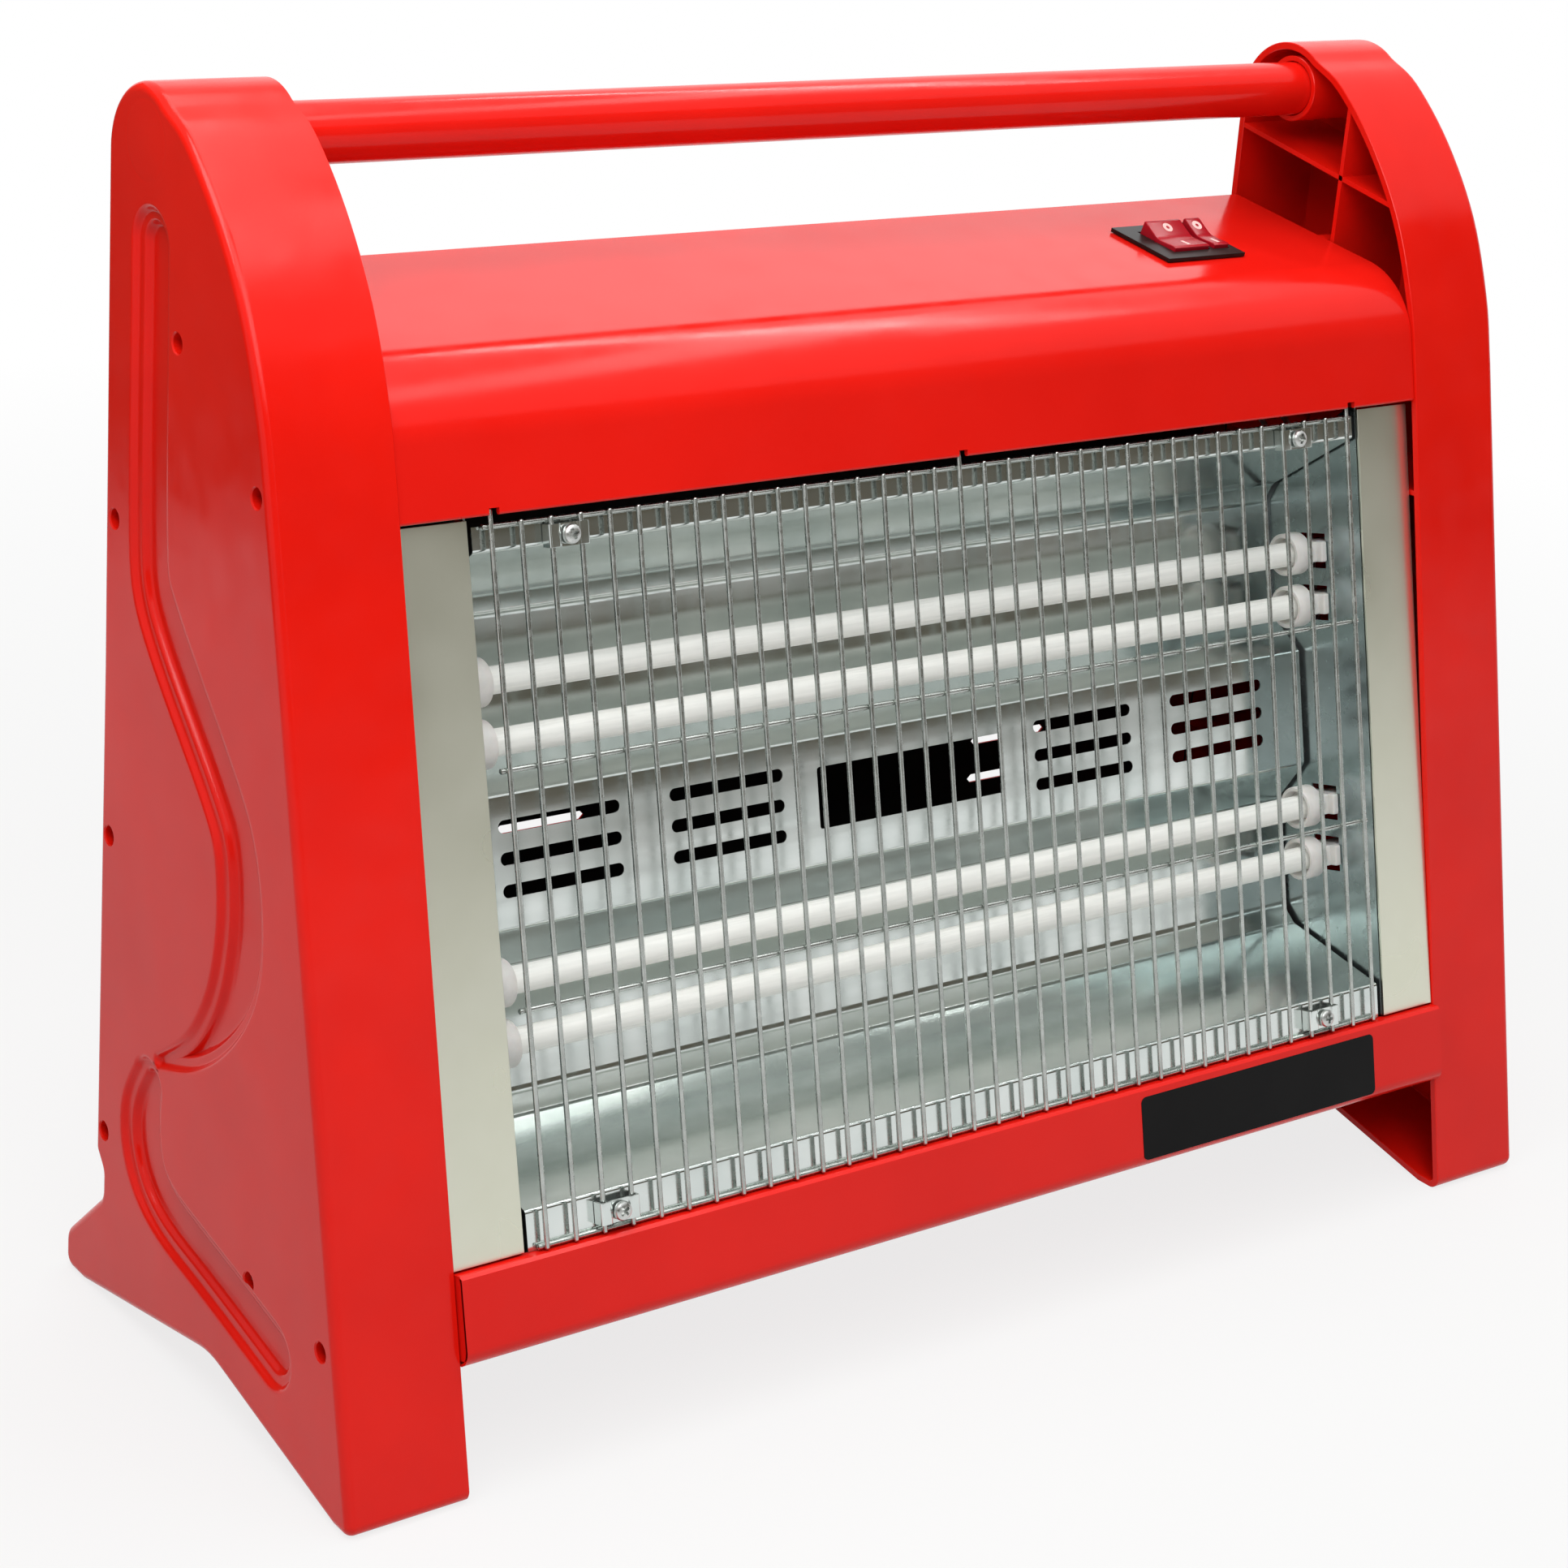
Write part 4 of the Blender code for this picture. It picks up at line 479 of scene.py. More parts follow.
finishes = {
    "panel": mouldedRed(),
    "enamel": redEnamel(),
    "cream": creamLacquer(),
    "zinc": galvanised("galvanisedSheet", "#CBD3D0", "#DCE1DE", 0.0),
    # the cheeks: a darker, bluer copy of the galvanised sheet, painted shade at the recess's ends,
    # and a little duller
    "cheek": galvanised("shadedDullGalvanisedSheet", "#9FADAE", "#B3BFBF", 0.1),
    # nickel-chrome plated wire, dulled a little by heat
    "wire": plated("platedWire", 8, "#A4A8A4", "#BFC3BF", 3, 0.2, 0.34),
    # rolled screw steel, bright zinc with a fine dull grain
    "screw": plated("zincPlatedSteel", 3, "#B9BCBA", "#D3D5D2", 1.5, 0.24, 0.4),
    "quartz": milkyQuartz(),
    "ceramic": steatite(),
    # drawn wire with a dark scale from its heat
    "coil": grained("oxidisedNichrome", "#4A443F", "#6A625A", 0.45, 0.3, 0.01, Metallic=1.0),
    "brass": grained("rolledBrass", "#C9A95A", "#D8BC74", 0.28, 0.8, 0.004, Metallic=1.0),
    # moulded nylon with a fine eroded grain, a little duller than gloss
    "black": grained("blackNylon", "#0E0D0C", "#171513", 0.36, 0.5, 0.012, IOR=1.53,
                     Specular_IOR_Level=0.2),
    "film": grained("blackFilm", "#080708", "#0D0C0C", 0.3, 4.0, 0.004, IOR=1.4,
                    Specular_IOR_Level=0.15),
    # moulded polycarbonate that lets a little light through
    "lens": grained("clearRedPolycarbonate", "#A80E1E", "#B61226", 0.26, 6.0, 0.004, IOR=1.58,
                    Specular_IOR_Level=0.25, Transmission_Weight=0.2),
    "mark": grained("palePrintingInk", "#F2C9C4", "#E9B5B0", 0.5, 0.3, 0.005),
    # near-black primer: partly the sheet's own primer, partly painted shade for the inside of the
    # box
    "primerAndPaintedShade": grained("darkPrimerAndPaintedShade", "#171413", "#1F1B1A", 0.6, 0.6, 0.01),
    "sleeve": grained("siliconeSleeve", "#D8D6CF", "#C9C7BF", 0.55, 0.5, 0.02),
}
print("materials ready")


panel = {
    "wall": 3.0, "edge": 0.3, "crease": 3.6, "height": 458.92,
    "crownY": 153.0, "crownRadius": 25.5, "crownSweep": 125.0,
    # feet, arch and straight back as (y, z, radius) corners
    "foot": [(-17.5, 0, 4.4), (-5.5, 0, 0), (85.0, 19.3, 40.0), (184.0, 0, 0), (199.5, 0, 6),
             (199.5, 14.7, 8), (170.2, 42.242, 8), (170.2, 53.0, 5), (176.0, 60.0, 5),
             (176.0, 250.0, 0)],
    "shoulder": [(122, 446), (100, 425), (80.5, 397.5), (67, 366), (60, 340)],
    # screws as (y, z), and the radii of each one's hole, recess and boss
    "screws": [(125.2, 377.5), (68.5, 340), (168.5, 305), (168.5, 187), (168.5, 70),
               (57, 62.2), (6.8, 60.5)],
    "hole": 2.05, "recess": 3.5, "boss": 5.3, "bossFloor": 9.0,
    "ribHalf": 1.0, "ribSetBack": 0.4, "ribInset": 1.5, "uprightY": 116.0, "uprightFoot": 17.3,
    "crossZ": 420.5, "crossDrop": 17.5, "lowerRibs": (290.0, 150.0),
    # the two grooves' centre lines as (y, z, width)
    "upperGroove": [(145.5, 406, 25), (142.5, 303, 26), (134, 280, 28), (90, 235, 27),
                    (76, 217, 28), (70.7, 191, 30), (73, 171, 29), (84, 149, 21),
                    (103, 129, 12), (127, 116, 4)],
    "lowerGroove": [(135, 103, 20), (139.5, 88, 29), (138.5, 75, 31), (131, 65, 29),
                    (117, 58.5, 26), (98, 54.8, 25), (70, 49.5, 25), (39.5, 43.3, 25)],
    # depth against the distance in from the rim: a rolled rim, a step and the bed
    "grooveSection": [(-2.2, 0), (-1.6, 0), (-1.1, 0.07), (-0.6, 0.28), (-0.2, 0.62),
                      (0.2, 1.15), (0.6, 1.65), (1.0, 2.0), (1.5, 2.17), (2.6, 2.2),
                      (3.6, 2.24), (4.1, 2.4), (4.5, 2.8), (4.9, 3.5), (5.3, 4.2),
                      (5.8, 4.7), (6.5, 4.95), (8.0, 5), (12.0, 5), (17.0, 5)],
    "grooveStep": 3.0, "grooveWall": 2.5, "grooveRoom": 6.3,
}


# The panel's outline in (y, z): feet and arch with round corners, a straight back, the
# crown as an arc, and the shoulder as a spline that runs into the straight front.
def panelOutline(p):
    angle = np.radians(np.linspace(0, p["crownSweep"], 25))
    crown = asPoints(p["crownY"] + p["crownRadius"] * np.cos(angle),
                     p["height"] - p["crownRadius"] + p["crownRadius"] * np.sin(angle))
    shoulder = spline([crown[-1], *p["shoulder"]], 6)[1:]
    return roundCorners(p["foot"] + [(y, z, 0) for y, z in np.vstack([crown, shoulder])])


# The lowest and highest first coordinate of an outline where its second has that value.
def reach(outline, value):
    ahead = np.roll(outline, -1, 0)
    low, high = np.minimum(outline[:, 1], ahead[:, 1]), np.maximum(outline[:, 1], ahead[:, 1])
    hit = (low <= value) & (value < high)
    share = (value - outline[hit, 1]) / (ahead[hit, 1] - outline[hit, 1])
    first = outline[hit, 0] + (ahead[hit, 0] - outline[hit, 0]) * share
    return first.min(), first.max()


# Rings round the groove's centre line: at each ring every point stands half the local
# width less the ring's inset from the line, and half circles close the two ends.
def grooveRings(line):
    path = evenPath(line, panel["grooveStep"], 8)
    ahead = np.gradient(path[:, :2], axis=0)
    ahead /= np.linalg.norm(ahead, axis=1, keepdims=True)
    side = np.stack([-ahead[:, 1], ahead[:, 0]], 1)
    turn = np.linspace(0, math.pi, 26)[1:-1, None]
    last = side[-1] * -np.cos(turn) + ahead[-1] * np.sin(turn)
    first = side[0] * np.cos(turn) - ahead[0] * np.sin(turn)
    arm = np.vstack([-side, last, side[::-1], first])
    centre = np.vstack([path, np.repeat(path[-1:], len(turn), 0),
                        path[::-1], np.repeat(path[:1], len(turn), 0)])
    half = centre[:, 2] / 2
    inward, deep = np.array(panel["grooveSection"]).T
    inset = np.minimum(inward[:, None], half)
    return centre[:, :2] + arm * (half - inset)[..., None], np.interp(inset, inward, deep)


# One groove as a closed tray: its face sinks by the depth, and its back lies a wall behind,
# a little more along the rim.
def grooveTray(line):
    place, deep = grooveRings(line)
    face = np.dstack([panelOut - deep, place])
    back = np.dstack([panelOut - deep - panel["grooveWall"] - 0.5 * (deep < 1), place])
    return gridSurface(np.concatenate([back[::-1], face]), caps=False)


# A screw's recess from the boss's floor out, with a chamfer of 0.5 at the mouth.
def recessCutter(y, z):
    r = panel["recess"]
    return turnedX([(panelIn + panel["bossFloor"], r), (panelOut - 0.5, r),
                    (panelOut, r + 0.5), (panelOut + 1, r + 1.5)], 28, y, z)


# The right-hand moulding: shell, trays, and the ribs, bosses and handle seat inside it, cut
# back behind the grooves. The shell's stations are (x, distance in from the outline).
def panelMoulding():
    p = panel
    wall, edge, crease = p["wall"], p["edge"], p["crease"]
    outline, floorX = panelOutline(p), panelOut - wall
    stations = [(floorX, wall + 0.8), (floorX - 0.3, wall + 0.25), (floorX - 0.9, wall),
                (panelIn + edge, wall), (panelIn, wall - edge), (panelIn, edge),
                (panelIn + edge, 0.0)]
    stations += [(panelOut - crease * (1 - math.sin(a)), crease * (1 - math.cos(a)))
                 for a in np.radians(np.linspace(0, 90, 9))]
    shell = newObject("shell", [stacked([(x, offsetLine(outline, d)) for x, d in stations], 0)])
    grooves = (p["upperGroove"], p["lowerGroove"])
    rims = [grooveRings(line)[0][0] for line in grooves]
    trays = [newObject("tray", [grooveTray(line)]) for line in grooves]
    recesses = [[recessCutter(y, z)] for y, z in p["screws"]]
    cutOut(shell, [[alongX(rim, (floorX - 4, panelOut + 4))] for rim in rims] + recesses)
    cutOut(trays[1], recesses[5:6])  # the one recess that runs into the lower groove

    ribX, half, inset = (panelIn + p["ribSetBack"], floorX + 1), p["ribHalf"], p["ribInset"]
    y, top = p["uprightY"], reach(outline[:, ::-1], p["uprightY"])[1]
    inside = [block(*ribX, y - half, y + half, p["uprightFoot"], top - 2)]
    high, low = p["crossZ"], p["crossZ"] - p["crossDrop"]
    back, front = reach(outline, high)[1] - inset, reach(outline, low)[0] + inset
    inside.append(alongX([(back, high - half), (back, high + half),
                          (front, low + half), (front, low - half)], ribX))
    for z in p["lowerRibs"]:
        y0, y1 = reach(outline, z)
        inside.append(block(*ribX, y0 + inset, y1 - inset, z - half, z + half))
    seat, bore, socket = handle["seat"], handle["seatBore"], handle["radius"] + fit
    stop = panelIn + handle["seatDepth"]
    inside.append(turnedX([(panelIn + 2 * fit, seat), (panelIn + fit, seat - fit),
                           (panelIn + fit, socket + fit), (panelIn + 2 * fit, socket),
                           (stop, socket), (stop, bore), (floorX + 1, bore), (floorX + 1, seat)],
                          48, handle["y"], handle["z"], closed=True))
    near, floorOf, far = panelIn + fit, panelIn + p["bossFloor"], floorX + 1.5
    for y, z in p["screws"]:
        inside.append(turnedX([(near, p["hole"]), (floorOf, p["hole"]), (floorOf, p["recess"]),
                               (far, p["recess"]), (far, p["boss"]), (near, p["boss"])],
                              24, y, z, closed=True))
    behind = [[alongX(rim, (panelOut - p["grooveRoom"], panelOut + 4))] for rim in rims]
    ribs = [cutOut(newObject("inside", [part]), behind) for part in inside]
    return joined("right_panel_moulding", [shell, *trays, *ribs])


right = panelMoulding()
left = mirrored(linked("left_panel_moulding", right.data.copy()))
finishPiece(right, "panel", "right_side_panel", weighted=True)
finishPiece(left, "panel", "left_side_panel", weighted=True)
print("side panels ready")


cover = {"backY": 175.7, "backZ": 390.8, "slope": 0.145, "radius": 34.0, "lipZ": 328.0,
         "proud": 3.2, "hem": 6.0, "backFlange": 10.0, "endFlange": 14.0, "endSetBack": 0.6,
         "notchX": (-204.0, 0.0, 204.0), "notchHalf": 2.0, "notchHeight": 2.4}
switch = {"x": 161.5, "y": 125.5, "holeX": 20.3, "holeY": 15.0}
switchZ = cover["backZ"] - cover["slope"] * (cover["backY"] - switch["y"])


# (x, y, z) on the switch's own face to metres: turned up by the cover's slope and moved there.
def inSwitch(points):
    return toMetres(tipped(points, math.atan(cover["slope"])) + (switch["x"], switch["y"], switchZ))


# The y of the box's front face at a height.
def proudY(z):
    return (z - footZ) * leanTan - cover["proud"] / leanCos


# The cover's outer line: a bend off the back flange, the sloping top, the R34 fold and the
# leaning front down to the lip, which is hemmed back on itself round a 1 mm arc.
def topCover():
    c = cover
    rise = c["backZ"] - c["slope"] * c["backY"]
    shift = c["proud"] / leanCos + footZ * leanTan
    cornerY = (leanTan * rise - shift) / (1 - leanTan * c["slope"])
    line = roundCorners([(c["backY"], c["backZ"] - c["backFlange"], 0), (c["backY"], c["backZ"], 2),
                         (cornerY, rise + c["slope"] * cornerY, c["radius"]),
                         (proudY(c["lipZ"] + 1), c["lipZ"] + 1, 0)],
                        closed=False, stepDegrees=2.5)
    end, along, inward = line[-1], np.array((leanSin, leanCos)), np.array((leanCos, -leanSin))
    angle = np.radians(np.linspace(0, 180, 13))[1:-1, None]
    curl = end + inward - inward * np.cos(angle) - along * np.sin(angle)
    hem = [end + a * inward + b * along
           for a, b in ((2, 0), (2, c["hem"]), (1.1, c["hem"]), (1, 0.2))]
    inner = offsetLine(line, sheetMm, closed=False)[::-1]
    outline = np.vstack([line, curl, hem, inner[1:]])
    sheet = newObject("top_cover_sheet", [alongX(outline, (-boxEnd, boxEnd))])
    lipY, lipZ, half = end[0], c["lipZ"], c["notchHalf"]
    cutOut(sheet, [[block(x - half, x + half, lipY - 2, lipY + 4, lipZ - 2,
                          lipZ + c["notchHeight"])] for x in c["notchX"]])
    cutOut(sheet, [[block(-switch["holeX"], switch["holeX"], -switch["holeY"], switch["holeY"],
                          -6, 6)]], inSwitch)
    rim, under = (offsetLine(line, d, closed=False)[1:-1] for d in (fit, c["endFlange"]))
    flange, far = np.vstack([rim, under[::-1]]), boxEnd - c["endSetBack"]
    flanges = newObject("flanges", [alongX(flange, (x, x + sheetMm))
                                    for x in (-far, far - sheetMm)])
    finishPiece(joined("top_cover_sheet", [sheet, flanges]), "enamel", "top_cover", weighted=True)


topCover()
# CAD nodes whose shape is right: finish, width of the rounded edges in mm, and the nodes.
soft = {}
for finish, widthMm, nodes in (("enamel", 0.3, ("back_cover", "base_pan")),
                               ("cream", 0.3, ("left_strip", "right_strip")),
                               ("cheek", 0.2, ("left_cheek", "right_cheek")),
                               ("brass", 0.2, ("left_bus_bar", "upper_bus_bar", "lower_bus_bar")),
                               ("black", 0.5, ("cord_bushing", "switch_housing"))):
    for node in nodes:
        soft[node] = softened(node, finish, widthMm)
# Inside, the back cover and the pan's floor and front get a near-black primer, painted shade
# for the dark inside of the box that shows through the slots and gaps.
facedWith(soft["back_cover"], "primerAndPaintedShade", lambda nx, ny, nz, x, y, z: ny < -0.5)
facedWith(soft["base_pan"], "primerAndPaintedShade", lambda nx, ny, nz, x, y, z:
          ((ny > 0.3) & (y < 0)) | ((nz > 0.3) & (z < 0.06)))


rocker = {"pivot": 0.5, "reach": 10.5, "peak": 5.1, "middle": 2.7, "lip": 1.4, "skirt": 2.0,
          "belly": 7.0, "tilt": 11.0, "fold": 9.0, "edge": 0.4, "pinRadius": 1.3, "pinLength": 1.1,
          "markRadius": 2.25, "markHole": 0.85, "markY": 5.9, "markProud": 0.05,
          "markRoot": 0.2, "barHalf": 0.75, "barLength": 4.6}
rockerSlope = (rocker["peak"] - rocker["middle"]) / (rocker["reach"] - rocker["lip"])


# (x, y, z) from the rocker's own pivot, tipped back by its rest angle, onto the switch.
def onPivot(middleX):
    shift = (middleX, 0, rocker["pivot"])
    return lambda points: inSwitch(tipped(points, math.radians(rocker["tilt"])) + shift)


# The rocker's outline in (y, z): a dished top whose two halves meet in an arc, round lips
# and a belly that swings between the pins.
def rockerPiece(name, middleX, width):
    r = rocker
    outline = roundCorners([(-r["reach"], r["peak"], 0.5), (-r["reach"], -r["skirt"], 1.0),
                            (-r["reach"] / 2, -r["belly"], 2.0), (r["reach"] / 2, -r["belly"], 2.0),
                            (r["reach"], -r["skirt"], 1.0), (r["reach"], r["peak"], 0.5),
                            (r["reach"] - r["lip"], r["peak"], 0.8), (0, r["middle"], r["fold"]),
                            (r["lip"] - r["reach"], r["peak"], 0.8)])
    half, moved = width / 2, onPivot(middleX)
    body = roundEdged(newObject("rocker", [alongX(outline, (-half, half))], moved), r["edge"])
    end = half + r["pinLength"]
    pins = newObject("pins", [turnedX([(-end, r["pinRadius"]), (end, r["pinRadius"])], 20, 0, 0)],
                     moved)
    finishPiece(joined(name + "_clear", [body, pins]), "lens", name, body=name)


# A mark printed on one half: a thin skin between an outer and an inner outline, whose height
# follows that half.
def printed(name, outer, inner, middleX, body):
    rings = []
    for outline, lift in ((inner, -rocker["markRoot"]), (inner, rocker["markProud"]),
                          (outer, rocker["markProud"]), (outer, -rocker["markRoot"])):
        height = rocker["middle"] + rockerSlope * np.abs(outline[:, 1]) + lift
        rings.append(np.column_stack([outline, height]))
    mark = newObject(name, [gridSurface(np.stack(rings), wrapAlong=True)], onPivot(middleX))
    finishPiece(mark, "mark", body=body)


for name, middleX, width in (("wide_rocker", -2.5, 19.0), ("narrow_rocker", 13.8, 8.0)):
    rockerPiece(name, middleX, width)
    off, on = np.array((0, rocker["markY"])), np.array((0, -rocker["markY"]))
    printed(f"{name}_off_mark", circle(rocker["markRadius"], 40) + off,
            circle(rocker["markHole"], 40) + off, middleX, name)
    bar = roundCorners([(x * rocker["barHalf"], y * rocker["barLength"] / 2 + on[1], 0.3)
                        for x, y in square])
    printed(f"{name}_on_mark", bar, bar * 0.02 + on * 0.98, middleX, name)
print("switch ready")


label = {"x": (70.0, 200.0), "z": (52.6, 77.2), "corner": 2.5, "proud": 0.15, "root": 0.35,
         "edge": 0.05}


# The bare film on the fascia: a thin plate with round corners, a little off the sheet.
def labelFilm():
    s0, s1 = [(z - footZ - cover["proud"] * leanSin) / leanCos for z in label["z"]]
    x0, x1 = label["x"]
    outline = roundCorners([(x, s, label["corner"])
                            for x, s in ((x0, s0), (x1, s0), (x1, s1), (x0, s1))])
    front, edge = -cover["proud"] - label["proud"], label["edge"]
    rings = [(front + label["root"], outline), (front + edge, outline),
             (front, offsetLine(outline, edge))]
    finishPiece(newObject("bare_label", [stacked(rings, 1)], inFront), "film")


labelFilm()

# The fascia's ends are folded back: a closed tab at each end, as (n, s, radius) corners.
fold = [(-3.12, -1.5, 0.3), (-3.12, -30.4, 3.5), (1.0, -31.0, 0.5), (6.0, -30.4, 0.5),
        (6.0, -1.5, 0.3)]
for side, word in ((-1, "left"), (1, "right")):
    tab = alongX(roundCorners(fold), (side * boxEnd, side * (boxEnd - sheetMm)))
    finishPiece(newObject(f"fascia_fold_{word}", [tab], inFront), "enamel")


# The reflector in (n, s): each bend is (n, s from the middle, radius), alike above and below.
pressed = {"half": 210.0, "sheet": 0.6, "front": 2.923, "middle": 127.8, "foot": 128.1,
           "top": 122.6, "bends": [(39.0, 24.0, 2.5), (55.4, 40.3, 2.5), (55.4, 86.5, 5.0),
                                   (49.5, 94.0, 5.0), (2.923, 113.8, 1.6)],
           "slotMiddle": 129.0, "slotPitch": 11.6, "slotX": (-161.0, -87.5, 87.5, 161.0),
           "slotLength": 51.5, "slotHeight": 4.8, "slotCorner": 2.39, "windowLength": 91.5,
           "windowHeight": 23.6, "windowCorner": 1.2, "screwHole": 1.8}
# The grille's clips, held by screws at these (x, s).
clip = {"half": 8.2, "height": 8.0, "sheet": 0.9, "outer": -2.15, "legEnd": 2.6, "dip": 0.55,
        "dipHalf": 3.4, "edge": 0.25,
        "places": [(-174, 244.6), (174, 244.6), (-174, 7.2), (174, 7.2)]}


# A slot or window as a prism along n, its corners in (x, s) rounded by the radius.
def opening(x, s, length, height, radius):
    a, b = length / 2, height / 2
    outline = roundCorners([(x + i * a, s + j * b, radius) for i, j in square], stepDegrees=15.0)
    return stacked([(35, outline), (44, outline)], 1)


# The pressed sheet: flange, trough, ridge, trough, flange in (n, s), each fold an arc.
def reflectorSheet():
    p = pressed
    middle = p["middle"]
    low = [(n, middle - s, r) for n, s, r in p["bends"][::-1]]
    high = [(n, middle + s, r) for n, s, r in p["bends"]]
    line = roundCorners([(p["front"], middle - p["foot"], 0), *low, *high,
                         (p["front"], middle + p["top"], 0)], closed=False, stepDegrees=10.0)
    sheet = newObject("reflector_pressing",
                      [alongX(sheetOutline(line, -p["sheet"]), (-p["half"], p["half"]))], inFront)
    cuts = [opening(0, p["slotMiddle"], p["windowLength"], p["windowHeight"], p["windowCorner"])]
    cuts += [opening(x, p["slotMiddle"] + row * p["slotPitch"], p["slotLength"], p["slotHeight"],
                     p["slotCorner"]) for x in p["slotX"] for row in (-1, 0, 1)]
    for place in sorted(clip["places"]):
        hole = circle(p["screwHole"], 16) + place
        cuts.append(stacked([(-1, hole), (6, hole)], 1))
    cutOut(sheet, [cuts], inFront)
    finishPiece(sheet, "zinc", "reflector", angle=25)


reflectorSheet()


# A clip's bent line in (x, n): a leg, the top over one wire, a dip under the screw, and back.
def clipPiece(k, x, s):
    c = clip
    outer, dip, h, d = c["outer"], c["outer"] + c["dip"], c["half"], c["dipHalf"]
    line = roundCorners([(-h, c["legEnd"], 0), (-h, outer, 0.9), (-d - 0.8, outer, 0.6),
                         (-d, dip, 0.6), (d, dip, 0.6), (d + 0.8, outer, 0.6),
                         (h, outer, 0.9), (h, c["legEnd"], 0)], closed=False, stepDegrees=15.0)
    a, n = sheetOutline(line, c["sheet"]).T
    end = c["height"] / 2
    rings = [(s + lift, asPoints(x + a, n + (n.mean() - n) * share))
             for lift, share in ((-end, 0.025), (c["edge"] - end, 0), (end - c["edge"], 0),
                                 (end, 0.025))]
    finishPiece(newObject(f"grille_clip_{k}_bent", [stacked(rings, 2)], inFront), "zinc",
                f"grille_clip_{k}")


# A screw's own place, with the head's foot at 0 and the head towards x, in metres.
def inScrew(points):
    return np.asarray(points) / 1000


# A pan head with a cross recess and its shank, as a profile of (x, radius).
def screwShape(head, height, shank, length):
    profile = [(-length, 0.5 * shank), (-length + 1.2, shank), (0, shank), (0, head - 0.15),
               (0.15, head), (0.4 * height, head), (0.72 * height, 0.9 * head),
               (0.93 * height, 0.68 * head), (height, 0.4 * head)]
    thing = newObject("screw", [turnedX(profile, 32, 0, 0)], inScrew)
    for a, b in ((0.56 * head, 0.17 * head), (0.17 * head, 0.56 * head)):
        cutOut(thing, [[block(0.1 * height, height + 1, -a, a, -b, b)]], inScrew)
    return thing


def placedScrew(name, shape, matrix, turn):
    thing = linked(name + "_turned", shape.data.copy())
    thing.data.transform(matrix @ Matrix.Rotation(turn, 4, "X"))
    finishPiece(thing, "screw", name)


outward = Matrix([(0, 1, 0), (-leanCos, 0, leanSin), (leanSin, 0, leanCos)]).to_4x4()
shape = screwShape(head=3.5, height=2.2, shank=1.5, length=11.4)
for k, (x, s) in enumerate(clip["places"]):
    clipPiece(k + 1, x, s)
    place = Matrix.Translation(inFront([(x, clip["outer"] - fit, s)])[0])
    placedScrew(f"clip_screw_{k + 1}", shape, place @ outward, 0.4 + 0.9 * k)
bpy.data.objects.remove(shape)
shape = screwShape(head=3.1, height=2.0, shank=1.7, length=15.0)
for side, word in ((-1, "left"), (1, "right")):
    facing = Matrix.Rotation(math.pi if side < 0 else 0.0, 4, "Z")
    for k, (y, z) in enumerate(panel["screws"]):
        foot = (side * (panelIn + panel["bossFloor"] + fit), y, z)
        placedScrew(f"{word}_panel_screw_{k + 1}", shape,
                    Matrix.Translation(toMetres([foot])[0]) @ facing, 0.7 * k)
bpy.data.objects.remove(shape)
print("sheet metal and screws ready")


def handleTube():
    end, r = panelIn + handle["seatDepth"] - fit, handle["radius"]
    bore = r - handle["wall"]
    tube = turnedX([(-end, r), (end, r), (end, bore), (-end, bore)], 64, handle["y"], handle["z"],
                   closed=True)
    finishPiece(newObject("handle_tube_drawn", [tube]), "enamel", "handle_tube")


handleTube()

# The quartz tubes: s of each, n of all, and half their length.
tubes = {"lifts": (194.2, 172.4, 88.0, 66.2), "depth": 30.0, "radius": 5.0, "wall": 1.2,
         "half": 201.5}
for k, s in enumerate(tubes["lifts"]):
    end, r, bore = tubes["half"], tubes["radius"], tubes["radius"] - tubes["wall"]
    profile = [(-end, bore + 0.3), (-end, r - 0.5), (0.5 - end, r), (end - 0.5, r), (end, r - 0.5),
               (end, bore + 0.3), (end - 0.3, bore), (0.3 - end, bore)]
    tube = turnedX(profile, 40, tubes["depth"], s, closed=True)
    finishPiece(newObject(f"quartz_tube_{k + 1}_drawn", [tube], inFront), "quartz",
                f"quartz_tube_{k + 1}")


# A holder along x; its mouth and throat are (x from the start, radius).
holder = {"start": 194.5, "ring": 203.0, "radius": 8.8, "socket": 5.3, "bellEnd": 209.0,
          "bellRadius": 5.0, "bellPower": 1.6, "bore": 1.7,
          "mouth": [(0.3, 7.0), (0, 7.3), (0, 8.4), (0.5, 8.8)], "throat": [(4.6, 5.3), (4.3, 6.6)],
          "cheekIn": 212.0, "cheekOut": 212.8, "neckEnd": 226.0, "neckHalf": 5.5, "neckHigh": 4.25,
          "lugHalf": 8.5, "lugLength": 3.2, "edge": 0.7}


